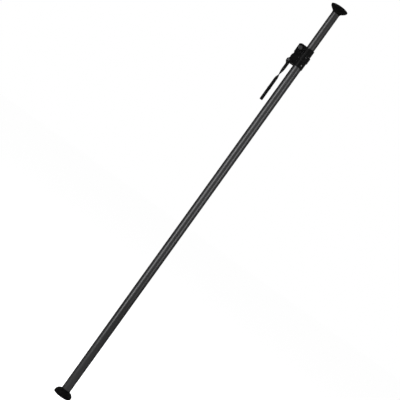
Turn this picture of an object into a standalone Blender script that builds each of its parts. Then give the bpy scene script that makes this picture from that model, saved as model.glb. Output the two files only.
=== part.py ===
"""Floor-to-ceiling pole: two telescopic tubes, rubber end cups and a lever clamp between them.

The pole stands along +Z with the middle of its foot on the floor at the origin. The lever hangs
on the -X side. Closing it lifts a carrier, and with it the upper tube, so that the pole presses
between floor and ceiling. A wedge jaw in the carrier holds the upper tube until the knob is
turned. Every length is in metres.
"""
import math

import bmesh
import bpy
from mathutils import Matrix, Vector

# The whole pole, as photographed
POLE_HEIGHT = 2.233
CLOSING_TRAVEL = 0.133
LOWER_TUBE_DROP = 0.308
LOWER_TUBE_RADIUS = 0.0225
UPPER_TUBE_RADIUS = 0.0200
TUBE_WALL = 0.0015

# Clearances
SEAT_GAP = 0.0003
SLIDE_GAP = 0.0006
STEP_BACK = 0.00005
EDGE_SOFTENING = 0.001
OVERCUT = 0.01

# Rubber cups and what holds them
CUP_RADIUS = 0.0445
CUP_CONTACT_WIDTH = 0.0105
CUP_RECESS_DEPTH = 0.006
CUP_WEB_TOP = 0.014
CUP_NECK_WALL = 0.0013
FOOT_CUP_HEIGHT = 0.031
FOOT_SKIRT_HEIGHT = 0.009
FOOT_BULGE = 1.5
CEILING_CUP_HEIGHT = 0.030
CEILING_SKIRT_HEIGHT = 0.003
CEILING_BULGE = 1.9
PLUG_STUD_RADIUS = 0.012
PLUG_FLANGE_THICKNESS = 0.003
PLUG_SPIGOT_LENGTH = 0.030
END_SCREW_RADIUS = 0.003
END_SCREW_HEAD_RADIUS = 0.006
END_SCREW_HEAD_HEIGHT = 0.0027
END_SCREW_LENGTH = 0.036
PILOT_RUN_OUT = 0.008
END_WASHER_RADIUS = 0.014
END_WASHER_THICKNESS = 0.0015
RIVET_RADIUS = 0.0020
RIVET_HEAD_RADIUS = 0.0034
RIVET_HEAD_HEIGHT = 0.0008
RIVET_LENGTH = 0.0055
RIVET_HEIGHT_IN_TUBE = 0.015
RIVET_ANGLES = (85.0, 205.0, 325.0)
GLIDE_RIVET_ANGLES = (5.0, 185.0)

# Glide at the bottom of the upper tube, and the screws that stop it
GLIDE_LENGTH = 0.100
GLIDE_RING_LENGTH = 0.016
GLIDE_WAIST_DEPTH = 0.0015
GLIDE_BORE_RADIUS = 0.014
STOP_SCREW_DROP = 0.128
STOP_SCREW_RADIUS = 0.0020
STOP_SCREW_HEAD_RADIUS = 0.0032
STOP_SCREW_ANGLES = (-85.0, -115.0, 95.0)

# Collar casting on the lower tube
COLLAR_DROP = 0.036
COLLAR_RISE = 0.032
COLLAR_WALL = 0.0027
COLLAR_RING_WALL = 0.0037
COLLAR_RING_BOTTOM_RISE = 0.004
BUSH_HEIGHT = 0.010
COLLAR_SCREW_RADIUS = 0.0020
COLLAR_SCREW_HEAD_RADIUS = 0.0036
COLLAR_SCREW_DROP = 0.020
COLLAR_SCREW_ANGLES = (-65.0, 5.0, 65.0)

# Stack across the clamp, from its middle plane outwards
LUG_HALF_WIDTH = 0.0068
WEB_THICKNESS = 0.0040
CHEEK_THICKNESS = 0.0050
CARRIER_HALF_WIDTH = 0.0150

# Lever and its crank
PIVOT_REACH = 0.029
PIVOT_RISE = 0.006
PIVOT_PIN_RADIUS = 0.0040
PIVOT_BUSH_WALL = 0.0012
PIN_HEAD_HEIGHT = 0.0018
PIN_HEAD_RIM = 0.0016
PIN_CHAMFER = 0.0007
PIN_TAIL = 0.0026
CLIP_WIDTH = 0.0024
CLIP_THICKNESS = 0.0010
CLIP_SPAN = (-45.0, 225.0)
LOBE_RADIUS = 0.0105
HUB_RADIUS = 0.0094
SECTOR_RADIUS = 0.0155
CRANK_RADIUS = 0.010
CRANK_ANGLE = 50.0
CRANK_PIN_RADIUS = 0.0030
CRANK_ROLLER_RADIUS = 0.0046
CRANK_SLOT_GAP = 0.0007
CHEEK_FACE_REACH = 0.0015
CHEEK_SLOPE_DROP = 0.027
COVER_THICKNESS = 0.0015
COVER_HEIGHT = 0.018
ARM_DEPTH = 0.0155
ARM_LENGTH = 0.082
NECK_THICKNESS = 0.0042
GRIP_LENGTH = 0.141
GRIP_DEPTH = 0.0142
GRIP_WIDTH = 0.020
GRIP_RIVET_DROP = 0.075
TANG_WIDTH = 0.012
TANG_LENGTH = 0.112

# Plunger that keeps the lever shut
PLUNGER_REACH = 0.011
PLUNGER_ANGLE = 0.0
PLUNGER_RADIUS = 0.0025
PLUNGER_SLEEVE_RADIUS = 0.0048
PLUNGER_SLEEVE_LIP = 0.0006
PLUNGER_LIP_HEIGHT = 0.0024
PLUNGER_SPRING_ROOM = 0.0012
PLUNGER_SHOULDER = 0.0008
PLUNGER_LAND = 0.0010
PLUNGER_ROOF = 0.0008
PLUNGER_NOSE_DEPTH = 0.0012
PLUNGER_SPRING_WIRE = 0.0002
PLUNGER_SPRING_TURNS = 3
PLUNGER_KNOB_SKIN = 0.003
PLUNGER_KNOB_RADIUS = 0.0060
PLUNGER_KNOB_LENGTH = 0.008

# Carrier that the lever lifts
CARRIER_HEIGHT = 0.0205
CARRIER_MARGIN = 0.0012
CARRIER_WALL = 0.0038
CARRIER_FACE_REACH = 0.0030
TONGUE_BOTTOM_RISE = 0.030
CAP_THICKNESS = 0.0027
CAP_SLOPE_DROP = 0.0062
CAP_SLOPE_LENGTH = 0.0100
CAP_SCREW_RADIUS = 0.0013
CAP_SCREW_HEAD_RADIUS = 0.0023
CAP_SCREW_HEAD_HEIGHT = 0.0014
CAP_SCREW_LENGTH = 0.007
CARRIER_BUSH_HEIGHT = 0.010
CARRIER_BUSH_WALL = 0.0016

# Jaw that grips the upper tube, and the knob that lets it go
WEDGE_ANGLE = 10.0
JAW_HEIGHT = 0.022
JAW_HALF_WIDTH = 0.0082
JAW_THICKNESS = 0.0110
PAD_THICKNESS = 0.0015
RAIL_THICKNESS = 0.0024
EAR_HALF_WIDTH = 0.0030
SPINDLE_REACH = 0.023
SPINDLE_DROP = 0.022
SPINDLE_RADIUS = 0.0055
SPINDLE_THROW = 0.0035
SPINDLE_PIN_RADIUS = 0.0018
SPINDLE_TURN = 90.0
KNOB_RADIUS = 0.0105
KNOB_THICKNESS = 0.0075
KNOB_DISH_RADIUS = 0.0035
KNOB_DISH_DEPTH = 0.0022
KNOB_SCREW_RADIUS = 0.0010
KNOB_SCREW_HEAD_RADIUS = 0.0029
KNOB_SCREW_HEAD_HEIGHT = 0.0012
KNOB_SCREW_REACH = 0.0050
SPINDLE_STUB = 0.0035
SPINDLE_GROOVE_HALF = 0.0018
SPINDLE_GROOVE_DEPTH = 0.0012
SET_SCREW_RADIUS = 0.0015
SET_SCREW_INSET = 0.0040
JAW_SPRING_RADIUS = 0.0018
JAW_SPRING_WIRE = 0.0003
JAW_SPRING_TURNS = 5
JAW_SPRING_POCKET = 0.0027
JAW_SPRING_DEPTH = 0.0075
JAW_SPRING_REACH = 0.0055

# Fineness of round shapes
TUBE_STEPS = 36
PIN_STEPS = 16
SCREW_STEPS = 10
KNOB_STEPS = 28

# Worked out from the sizes above
LOWER_TUBE_TOP = POLE_HEIGHT - LOWER_TUBE_DROP
LOWER_BORE = LOWER_TUBE_RADIUS - TUBE_WALL
UPPER_BORE = UPPER_TUBE_RADIUS - TUBE_WALL
SLIDE_RADIUS = UPPER_TUBE_RADIUS + SEAT_GAP
SLEEVE_RADIUS = LOWER_TUBE_RADIUS + SEAT_GAP + COLLAR_WALL
CARRIER_BORE = SLIDE_RADIUS + SEAT_GAP
NECK_RADIUS = CARRIER_BORE + CARRIER_WALL
RING_BORE = NECK_RADIUS + SEAT_GAP
RING_RADIUS = RING_BORE + COLLAR_RING_WALL
COLLAR_BOTTOM = LOWER_TUBE_TOP - COLLAR_DROP
COLLAR_TOP = LOWER_TUBE_TOP + COLLAR_RISE
BUSH_TOP = LOWER_TUBE_TOP + SEAT_GAP + BUSH_HEIGHT
WEB_INNER = LUG_HALF_WIDTH + SEAT_GAP
WEB_OUTER = WEB_INNER + WEB_THICKNESS
CHEEK_INNER = WEB_OUTER + SLIDE_GAP
CHEEK_OUTER = CHEEK_INNER + CHEEK_THICKNESS
TONGUE_HALF_WIDTH = CHEEK_INNER - SLIDE_GAP
PIVOT_X = -(SLEEVE_RADIUS + PIVOT_REACH)
PIVOT_Z = COLLAR_BOTTOM + PIVOT_RISE
LIFT_STROKE = 2 * CRANK_RADIUS * math.sin(math.radians(CRANK_ANGLE))
CARRIER_GAP = LIFT_STROKE + CARRIER_MARGIN
CRANK_X = PIVOT_X + CRANK_RADIUS * math.cos(math.radians(CRANK_ANGLE))
CRANK_Z = PIVOT_Z + CRANK_RADIUS * math.sin(math.radians(CRANK_ANGLE))
CHEEK_FACE_X = PIVOT_X - CHEEK_FACE_REACH
CHEEK_CORNER_Z = COLLAR_TOP - CHEEK_SLOPE_DROP
CARRIER_FACE_X = PIVOT_X - CARRIER_FACE_REACH
CARRIER_BOTTOM = COLLAR_TOP + CARRIER_GAP
CARRIER_TOP = CARRIER_BOTTOM + CARRIER_HEIGHT - CAP_THICKNESS - SEAT_GAP
CAP_TOP = CARRIER_BOTTOM + CARRIER_HEIGHT
NECK_BOTTOM = BUSH_TOP + CARRIER_GAP
SPINDLE_X = -(UPPER_TUBE_RADIUS + SPINDLE_REACH)
SPINDLE_Z = CAP_TOP - SPINDLE_DROP
JAW_BOTTOM = CARRIER_TOP - SEAT_GAP - JAW_HEIGHT - 2 * SPINDLE_THROW
PAD_RADIUS = SLIDE_RADIUS
JAW_FACE_RADIUS = PAD_RADIUS + PAD_THICKNESS + SEAT_GAP
RAIL_FOOT_X = -(JAW_FACE_RADIUS + JAW_THICKNESS)
GLIDE_RADIUS = LOWER_BORE - SEAT_GAP - 0.00005
STOP_SCREW_Z = LOWER_TUBE_TOP - STOP_SCREW_DROP
COLLAR_SCREW_Z = LOWER_TUBE_TOP - COLLAR_SCREW_DROP


def clear_scene():
    """Remove every object, so that the script gives the same model each run."""
    for thing in list(bpy.data.objects):
        bpy.data.objects.remove(thing, do_unlink=True)


def new_collection(name):
    """Return a collection of that name, linked to the scene."""
    group = bpy.data.collections.get(name) or bpy.data.collections.new(name)
    if name not in bpy.context.scene.collection.children:
        bpy.context.scene.collection.children.link(group)
    return group


clear_scene()
PARTS = new_collection("floor_to_ceiling_pole")
CUTTERS = new_collection("cutters")


def material(name, colour, roughness, metallic=0.0):
    """Return a Principled material of that colour."""
    made = bpy.data.materials.new(name)
    made.use_nodes = True
    shader = made.node_tree.nodes["Principled BSDF"]
    shader.inputs["Base Color"].default_value = (*colour, 1.0)
    shader.inputs["Roughness"].default_value = roughness
    shader.inputs["Metallic"].default_value = metallic
    return made


ANODISED = material("anodised_aluminium", (0.13, 0.13, 0.135), 0.42, 1.0)
RUBBER = material("black_rubber", (0.02, 0.02, 0.02), 0.75)
CASTING = material("black_casting", (0.025, 0.025, 0.027), 0.5)
PLASTIC = material("black_plastic", (0.03, 0.03, 0.03), 0.45)
NYLON = material("nylon", (0.55, 0.54, 0.5), 0.5)
STEEL = material("zinc_steel", (0.5, 0.5, 0.5), 0.35, 1.0)
DARK_STEEL = material("blackened_steel", (0.06, 0.06, 0.06), 0.4, 1.0)
LINING = material("jaw_lining", (0.2, 0.12, 0.08), 0.85)


def add(name, mesh, finish=None):
    """Put a mesh in the scene: as a part when it has a finish, and as a cutter when not."""
    thing = bpy.data.objects.new(name, mesh)
    if finish is None:
        thing.hide_render = True
        thing.display_type = "WIRE"
        CUTTERS.objects.link(thing)
    else:
        mesh.materials.clear()
        mesh.materials.append(finish)
        PARTS.objects.link(thing)
    return thing


def evaluated_mesh(thing):
    """Return the object's mesh after its modifiers, in world space."""
    graph = bpy.context.evaluated_depsgraph_get()
    mesh = bpy.data.meshes.new_from_object(thing.evaluated_get(graph))
    mesh.transform(thing.matrix_world)
    return mesh


def welded(mesh):
    """Merge the doubles of a mesh and return it."""
    work = bmesh.new()
    work.from_mesh(mesh)
    bmesh.ops.remove_doubles(work, verts=work.verts, dist=0.000001)
    work.to_mesh(mesh)
    work.free()
    return mesh


def settle(thing, name, finish, weld=True):
    """Replace an object by its own evaluated mesh, in world space."""
    bpy.context.view_layer.update()
    mesh = evaluated_mesh(thing)
    if weld:
        welded(mesh)
    bpy.data.objects.remove(thing, do_unlink=True)
    return add(name, mesh, finish)


def turned(name, profile, finish=None, steps=TUBE_STEPS, closed=False, place=None):
    """Turn a profile of (radius, height) points, top to bottom down its outer side, about Z."""
    mesh = bpy.data.meshes.new(name)
    count = len(profile)
    edges = [(i, i + 1) for i in range(count - 1)]
    if closed:
        edges.append((count - 1, 0))
    mesh.from_pydata([(radius, 0.0, height) for radius, height in profile], edges, [])
    thing = add(name + "_turning", mesh)
    screw = thing.modifiers.new("turn", "SCREW")
    screw.axis = "Z"
    screw.angle = 2 * math.pi
    screw.steps = steps
    screw.render_steps = steps
    screw.use_merge_vertices = True
    screw.merge_threshold = 0.00001
    if place is not None:
        thing.matrix_world = place
    return settle(thing, name, finish)


def rod(name, radius, bottom, top, finish=None, steps=PIN_STEPS, place=None):
    """Turn a plain solid rod."""
    profile = [(0.0, top), (radius, top), (radius, bottom), (0.0, bottom)]
    return turned(name, profile, finish, steps, place=place)


def ring(name, inner, outer, bottom, top, finish=None, steps=TUBE_STEPS, place=None):
    """Turn a plain ring."""
    profile = [(outer, top), (outer, bottom), (inner, bottom), (inner, top)]
    return turned(name, profile, finish, steps, closed=True, place=place)


def box(name, low, high, finish=None):
    """Make a box between two corners."""
    work = bmesh.new()
    bmesh.ops.create_cube(work, size=1.0)
    size = [high[i] - low[i] for i in range(3)]
    middle = [(high[i] + low[i]) / 2 for i in range(3)]
    bmesh.ops.scale(work, vec=size, verts=work.verts)
    bmesh.ops.translate(work, vec=middle, verts=work.verts)
    mesh = bpy.data.meshes.new(name)
    work.to_mesh(mesh)
    work.free()
    return add(name, mesh, finish)


def flat_solid(name, outlines, thickness, place, finish=None):
    """Extrude an outline, less the holes whose outlines follow it, evenly about its own plane."""
    curve = bpy.data.curves.new(name + "_outline", "CURVE")
    curve.dimensions = "2D"
    curve.fill_mode = "BOTH"
    curve.extrude = thickness / 2
    for outline in outlines:
        spline = curve.splines.new("POLY")
        spline.points.add(len(outline) - 1)
        for point, (x, y) in zip(spline.points, outline):
            point.co = (x, y, 0.0, 1.0)
        spline.use_cyclic_u = True
    thing = bpy.data.objects.new(name + "_outline", curve)
    CUTTERS.objects.link(thing)
    thing.matrix_world = place
    return settle(thing, name, finish)


def plate(name, outline, near, far, finish=None, holes=()):
    """Extrude an outline of (x, z) points, with its holes, along Y from near to far."""
    place = Matrix.Translation((0, (near + far) / 2, 0)) @ Matrix.Rotation(math.pi / 2, 4, "X")
    return flat_solid(name, [outline, *holes], far - near, place, finish)


def slab(name, outline, bottom, top, finish=None, holes=()):
    """Extrude an outline of (x, y) points, with its holes, along Z from bottom to top."""
    place = Matrix.Translation((0, 0, (bottom + top) / 2))
    return flat_solid(name, [outline, *holes], top - bottom, place, finish)


def circle(centre, radius, steps):
    """Return the points of a circle for an outline."""
    return arc(centre, radius, 0.0, 360.0, steps)[:-1]


def combine(target, operation, others):
    """Cut from a solid, or join to it, other solids, which are used up."""
    for other in others:
        step = target.modifiers.new(operation, "BOOLEAN")
        step.operation = operation
        step.solver = "EXACT"
        step.object = other
        name = target.name
        finish = target.data.materials[0] if target.data.materials else None
        target.name = name + "_before"
        target = settle(target, name, finish, weld=False)
        bpy.data.objects.remove(other, do_unlink=True)
    return target


def cut(target, *cutters):
    """Cut the cutters out of the target."""
    return combine(target, "DIFFERENCE", cutters)


def join(target, *others):
    """Join the others to the target."""
    return combine(target, "UNION", others)


def group(name, solids):
    """Make one cutter of separate solids."""
    work = bmesh.new()
    for solid in solids:
        work.from_mesh(solid.data)
        bpy.data.objects.remove(solid, do_unlink=True)
    mesh = bpy.data.meshes.new(name)
    work.to_mesh(mesh)
    work.free()
    return add(name, mesh)


def numbered(name, solids, finish):
    """Turn equal solids into parts with numbered names, and return them."""
    pieces = []
    for number, solid in enumerate(solids, 1):
        mesh = solid.data
        bpy.data.objects.remove(solid, do_unlink=True)
        pieces.append(shade(add(f"{name}_{number}", mesh, finish)))
    return pieces


def shade(thing, angle=35.0):
    """Shade a solid smooth, with its corners sharp."""
    thing.data.shade_smooth()
    thing.data.set_sharp_from_angle(angle=math.radians(angle))
    return thing


def facing(direction, point):
    """Return the placement that turns +Z into a direction, at a point."""
    turn = Vector(direction).to_track_quat("Z", "Y").to_matrix().to_4x4()
    return Matrix.Translation(point) @ turn


def radial(angle, height):
    """Return the placement that turns +Z into the outward direction at that angle."""
    flat = math.radians(angle)
    return facing((math.cos(flat), math.sin(flat), 0), (0, 0, height))


def across(x, z):
    """Return the placement that turns +Z into -Y, through the point (x, z)."""
    return facing((0, -1, 0), (x, 0, z))


def arc(centre, radius, start, end, count):
    """Return points along an arc, in degrees from +x."""
    points = []
    for i in range(count + 1):
        angle = math.radians(start + (end - start) * i / count)
        points.append((centre[0] + radius * math.cos(angle), centre[1] + radius * math.sin(angle)))
    return points


def from_face(points, face, direction):
    """Map (radius, height off the face) points to heights, outer side top to bottom."""
    placed = [(radius, face + direction * height) for radius, height in points]
    return placed if direction > 0 else placed[::-1]


def parent_empty(name, place):
    """Make an empty on a joint's axis."""
    empty = bpy.data.objects.new(name, None)
    empty.location = place
    PARTS.objects.link(empty)
    return empty


def carry(empty, things):
    """Parent things to an empty and leave them where they are."""
    bpy.context.view_layer.update()
    for thing in things:
        thing.parent = empty
        thing.matrix_parent_inverse = empty.matrix_world.inverted()


def cup(name, face, direction, height, skirt, neck_radius, bulge):
    """Make a rubber cup: a contact ring on its face, a recess, a screw hole and a stud bore."""
    rim = CUP_RADIUS
    count = 5
    side = []
    for i in range(count + 1):
        angle = math.radians(90 * i / count)
        share = 1 - math.cos(angle) ** bulge
        side.append((rim - (rim - neck_radius) * share, skirt + (height - skirt) * math.sin(angle)))
    stud = PLUG_STUD_RADIUS + SEAT_GAP
    hole = END_SCREW_RADIUS + 5 * SEAT_GAP
    inner = rim - CUP_CONTACT_WIDTH
    outer_side = [(stud, height)] + side[::-1] + [(rim - 0.001, 0.0)]
    inner_side = [(inner, 0.0), (inner - 0.001, CUP_RECESS_DEPTH), (hole, CUP_RECESS_DEPTH),
                  (hole, CUP_WEB_TOP), (stud, CUP_WEB_TOP)]
    profile = from_face(outer_side + inner_side, face, direction)
    return shade(turned(name, profile, RUBBER, closed=True))


def end_plug(name, face, direction, cup_height, tube_radius, bore_radius):
    """Make the plug that closes a tube and carries its cup on a stud."""
    flange = cup_height + SEAT_GAP
    seat = flange + PLUG_FLANGE_THICKNESS
    top = seat + PLUG_SPIGOT_LENGTH
    spigot = bore_radius - SEAT_GAP
    pilot = END_SCREW_RADIUS + SEAT_GAP
    foot = CUP_WEB_TOP + SEAT_GAP
    drilled = END_SCREW_LENGTH + PILOT_RUN_OUT
    outline = [(0.0, top), (spigot - 0.001, top), (spigot, top - 0.002), (spigot, seat),
               (tube_radius, seat), (tube_radius, flange), (PLUG_STUD_RADIUS, flange),
               (PLUG_STUD_RADIUS, foot), (pilot, foot), (pilot, drilled), (0.0, drilled)]
    plug = turned(name, from_face(outline, face, direction), PLASTIC)
    holes = rivet_holes(face + direction * (seat + RIVET_HEIGHT_IN_TUBE), tube_radius, RIVET_ANGLES)
    return shade(cut(plug, holes))


def end_screw(name, face, direction):
    """Make the screw that holds a cup on its plug, with a hexagon socket."""
    head = CUP_RECESS_DEPTH - END_WASHER_THICKNESS - 2 * SEAT_GAP
    low = head - END_SCREW_HEAD_HEIGHT
    outline = [(0.0, END_SCREW_LENGTH), (END_SCREW_RADIUS, END_SCREW_LENGTH),
               (END_SCREW_RADIUS, head), (END_SCREW_HEAD_RADIUS, head),
               (END_SCREW_HEAD_RADIUS, low + 0.0008), (END_SCREW_HEAD_RADIUS - 0.001, low), (0.0, low)]
    screw = turned(name, from_face(outline, face, direction), STEEL, PIN_STEPS)
    depth = 0.6 * END_SCREW_HEAD_HEIGHT
    ends = sorted((face + direction * (low - 0.001), face + direction * (low + depth)))
    socket = rod("socket", 0.4 * END_SCREW_HEAD_RADIUS, ends[0], ends[1], steps=6)
    return shade(cut(screw, socket))


def end_washer(name, face, direction):
    """Make the washer between the end screw's head and the cup."""
    top = CUP_RECESS_DEPTH - SEAT_GAP
    ends = sorted((face + direction * top, face + direction * (top - END_WASHER_THICKNESS)))
    return shade(ring(name, END_SCREW_RADIUS + SEAT_GAP, END_WASHER_RADIUS, ends[0], ends[1],
                      STEEL, 32))


def rivet_holes(height, tube_radius, angles):
    """Return one cutter for the rivet holes round a tube."""
    inner = tube_radius - RIVET_LENGTH - SEAT_GAP
    holes = [rod("rivet_hole", RIVET_RADIUS + SEAT_GAP, inner, tube_radius + 0.002,
                 steps=SCREW_STEPS, place=radial(angle, height)) for angle in angles]
    return group("rivet_holes", holes)


def rivets(name, height, tube_radius, angles):
    """Make a ring of rivets with low round heads."""
    seat = tube_radius + SEAT_GAP
    solids = []
    for angle in angles:
        outline = [(0.0, seat + RIVET_HEAD_HEIGHT), (0.6 * RIVET_HEAD_RADIUS, seat + RIVET_HEAD_HEIGHT),
                   (RIVET_HEAD_RADIUS, seat + 0.3 * RIVET_HEAD_HEIGHT), (RIVET_HEAD_RADIUS, seat),
                   (RIVET_RADIUS, seat), (RIVET_RADIUS, tube_radius - RIVET_LENGTH),
                   (0.0, tube_radius - RIVET_LENGTH)]
        solids.append(turned(name + "_one", outline, steps=SCREW_STEPS, place=radial(angle, height)))
    return numbered(name, solids, DARK_STEEL)


def lofted(name, sections, finish=None):
    """Join rounded oblong sections, each (height, middle x, depth along x, width along y)."""
    work = bmesh.new()
    rings = []
    for height, middle, depth, width in sections:
        corner = 0.3 * min(depth, width)
        loop = []
        for quarter, (side_x, side_y) in enumerate(((1, 1), (-1, 1), (-1, -1), (1, -1))):
            for step in range(3):
                angle = math.radians(90 * quarter + 45 * step)
                x = middle + side_x * (depth / 2 - corner) + corner * math.cos(angle)
                y = side_y * (width / 2 - corner) + corner * math.sin(angle)
                loop.append(work.verts.new((x, y, height)))
        rings.append(loop)
    for upper, lower in zip(rings, rings[1:]):
        for i in range(len(upper)):
            j = (i + 1) % len(upper)
            work.faces.new((upper[i], lower[i], lower[j], upper[j]))
    work.faces.new(rings[0])
    work.faces.new(rings[-1][::-1])
    bmesh.ops.recalc_face_normals(work, faces=work.faces)
    mesh = bpy.data.meshes.new(name)
    work.to_mesh(mesh)
    work.free()
    return add(name, mesh, finish)


def coil(name, middle, radius, wire, low, high, turns, finish, place=None):
    """Wind a compression spring along Z between two heights, and print its least self-gap."""
    per_turn = 8
    rise = (high - low - 2 * wire) / turns
    print(name, "least gap between turns", round((rise - 2 * wire) * 1000, 3), "mm")
    curve = bpy.data.curves.new(name + "_wire", "CURVE")
    curve.dimensions = "3D"
    curve.bevel_depth = wire
    curve.bevel_resolution = 1
    curve.use_fill_caps = True
    spline = curve.splines.new("POLY")
    spline.points.add(turns * per_turn)
    for i, point in enumerate(spline.points):
        angle = 2 * math.pi * i / per_turn
        height = low + wire + rise * i / per_turn
        point.co = (middle[0] + radius * math.cos(angle), middle[1] + radius * math.sin(angle),
                    height, 1.0)
    thing = bpy.data.objects.new(name + "_wire", curve)
    CUTTERS.objects.link(thing)
    if place is not None:
        thing.matrix_world = place
    return shade(settle(thing, name, finish), 80.0)


FOOT_SEAT = FOOT_CUP_HEIGHT + SEAT_GAP + PLUG_FLANGE_THICKNESS
CEILING_SEAT = CEILING_CUP_HEIGHT + SEAT_GAP + PLUG_FLANGE_THICKNESS
FOOT_RIVET_Z = FOOT_SEAT + RIVET_HEIGHT_IN_TUBE
CEILING_RIVET_Z = POLE_HEIGHT - CEILING_SEAT - RIVET_HEIGHT_IN_TUBE
GLIDE_BOTTOM = FOOT_SEAT + PLUG_SPIGOT_LENGTH + CLOSING_TRAVEL + LIFT_STROKE + SEAT_GAP
UPPER_TUBE_BOTTOM = GLIDE_BOTTOM + GLIDE_LENGTH + SEAT_GAP
GLIDE_RIVET_Z = UPPER_TUBE_BOTTOM + RIVET_HEIGHT_IN_TUBE


def foot():
    """Make the foot: rubber cup, plug, screw, washer and rivets."""
    return [
        cup("foot_cup", 0.0, 1, FOOT_CUP_HEIGHT, FOOT_SKIRT_HEIGHT, LOWER_TUBE_RADIUS + CUP_NECK_WALL,
            FOOT_BULGE),
        end_plug("foot_plug", 0.0, 1, FOOT_CUP_HEIGHT, LOWER_TUBE_RADIUS, LOWER_BORE),
        end_screw("foot_screw", 0.0, 1),
        end_washer("foot_washer", 0.0, 1),
        *rivets("foot_rivet", FOOT_RIVET_Z, LOWER_TUBE_RADIUS, RIVET_ANGLES),
    ]


def spokes(height, angles, outline):
    """Turn equal solids round the pole from one outline of (radius, distance from the axis)."""
    return [turned("spoke", outline, steps=SCREW_STEPS, place=radial(angle, height))
            for angle in angles]


def stop_screws():
    """Make the screws whose tips catch the glide when the pole is fully out."""
    seat = LOWER_TUBE_RADIUS + SEAT_GAP
    head = seat + 0.0011
    outline = [(0.0, head), (0.6 * STOP_SCREW_HEAD_RADIUS, head),
               (STOP_SCREW_HEAD_RADIUS, seat + 0.0003), (STOP_SCREW_HEAD_RADIUS, seat),
               (STOP_SCREW_RADIUS, seat), (STOP_SCREW_RADIUS, SLIDE_RADIUS + 0.0001),
               (0.0, SLIDE_RADIUS + 0.0001)]
    return numbered("stop_screw", spokes(STOP_SCREW_Z, STOP_SCREW_ANGLES, outline), DARK_STEEL)


def countersunk(clearance):
    """Return the outline of a collar screw, grown by a clearance for its hole."""
    head = COLLAR_SCREW_HEAD_RADIUS + clearance
    shank = COLLAR_SCREW_RADIUS + clearance
    top = SLEEVE_RADIUS - 0.0002 if clearance == 0 else SLEEVE_RADIUS + 0.002
    rim = SLEEVE_RADIUS - 0.0006
    tip = LOWER_BORE - 0.0003 if clearance == 0 else LOWER_BORE - 0.002
    return [(0.0, top), (head, top), (head, rim), (shank, rim - (head - shank)), (shank, tip),
            (0.0, tip)]


def lower_tube():
    """Make the lower tube with its rivet, stop screw and collar screw holes."""
    tube = ring("lower_tube", LOWER_BORE, LOWER_TUBE_RADIUS, FOOT_SEAT + SEAT_GAP, LOWER_TUBE_TOP,
                ANODISED)
    hole = [(0.0, LOWER_TUBE_RADIUS + 0.003), (STOP_SCREW_RADIUS + SEAT_GAP, LOWER_TUBE_RADIUS + 0.003),
            (STOP_SCREW_RADIUS + SEAT_GAP, LOWER_BORE - 0.003), (0.0, LOWER_BORE - 0.003)]
    stops = group("stop_holes", spokes(STOP_SCREW_Z, STOP_SCREW_ANGLES, hole))
    sinks = spokes(COLLAR_SCREW_Z, COLLAR_SCREW_ANGLES, countersunk(SEAT_GAP))
    rivet = rivet_holes(FOOT_RIVET_Z, LOWER_TUBE_RADIUS, RIVET_ANGLES)
    return shade(cut(tube, rivet, stops, group("collar_holes", sinks)))


def slope_height(x):
    """Return the height of the cheeks' sloping top edge at x."""
    run = -CHEEK_FACE_X - NECK_RADIUS
    return COLLAR_TOP - CHEEK_SLOPE_DROP * (-x - NECK_RADIUS) / run


def cover_screw_places():
    """Return the points on the cheeks' outer ends where the cover is screwed on."""
    side = (CHEEK_INNER + CHEEK_OUTER) / 2
    return [Vector((CHEEK_FACE_X, y, CHEEK_CORNER_Z - COVER_HEIGHT / 2)) for y in (-side, side)]


PLUNGER_X = PIVOT_X + PLUNGER_REACH * math.cos(math.radians(PLUNGER_ANGLE))
PLUNGER_Z = PIVOT_Z + PLUNGER_REACH * math.sin(math.radians(PLUNGER_ANGLE))


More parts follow.
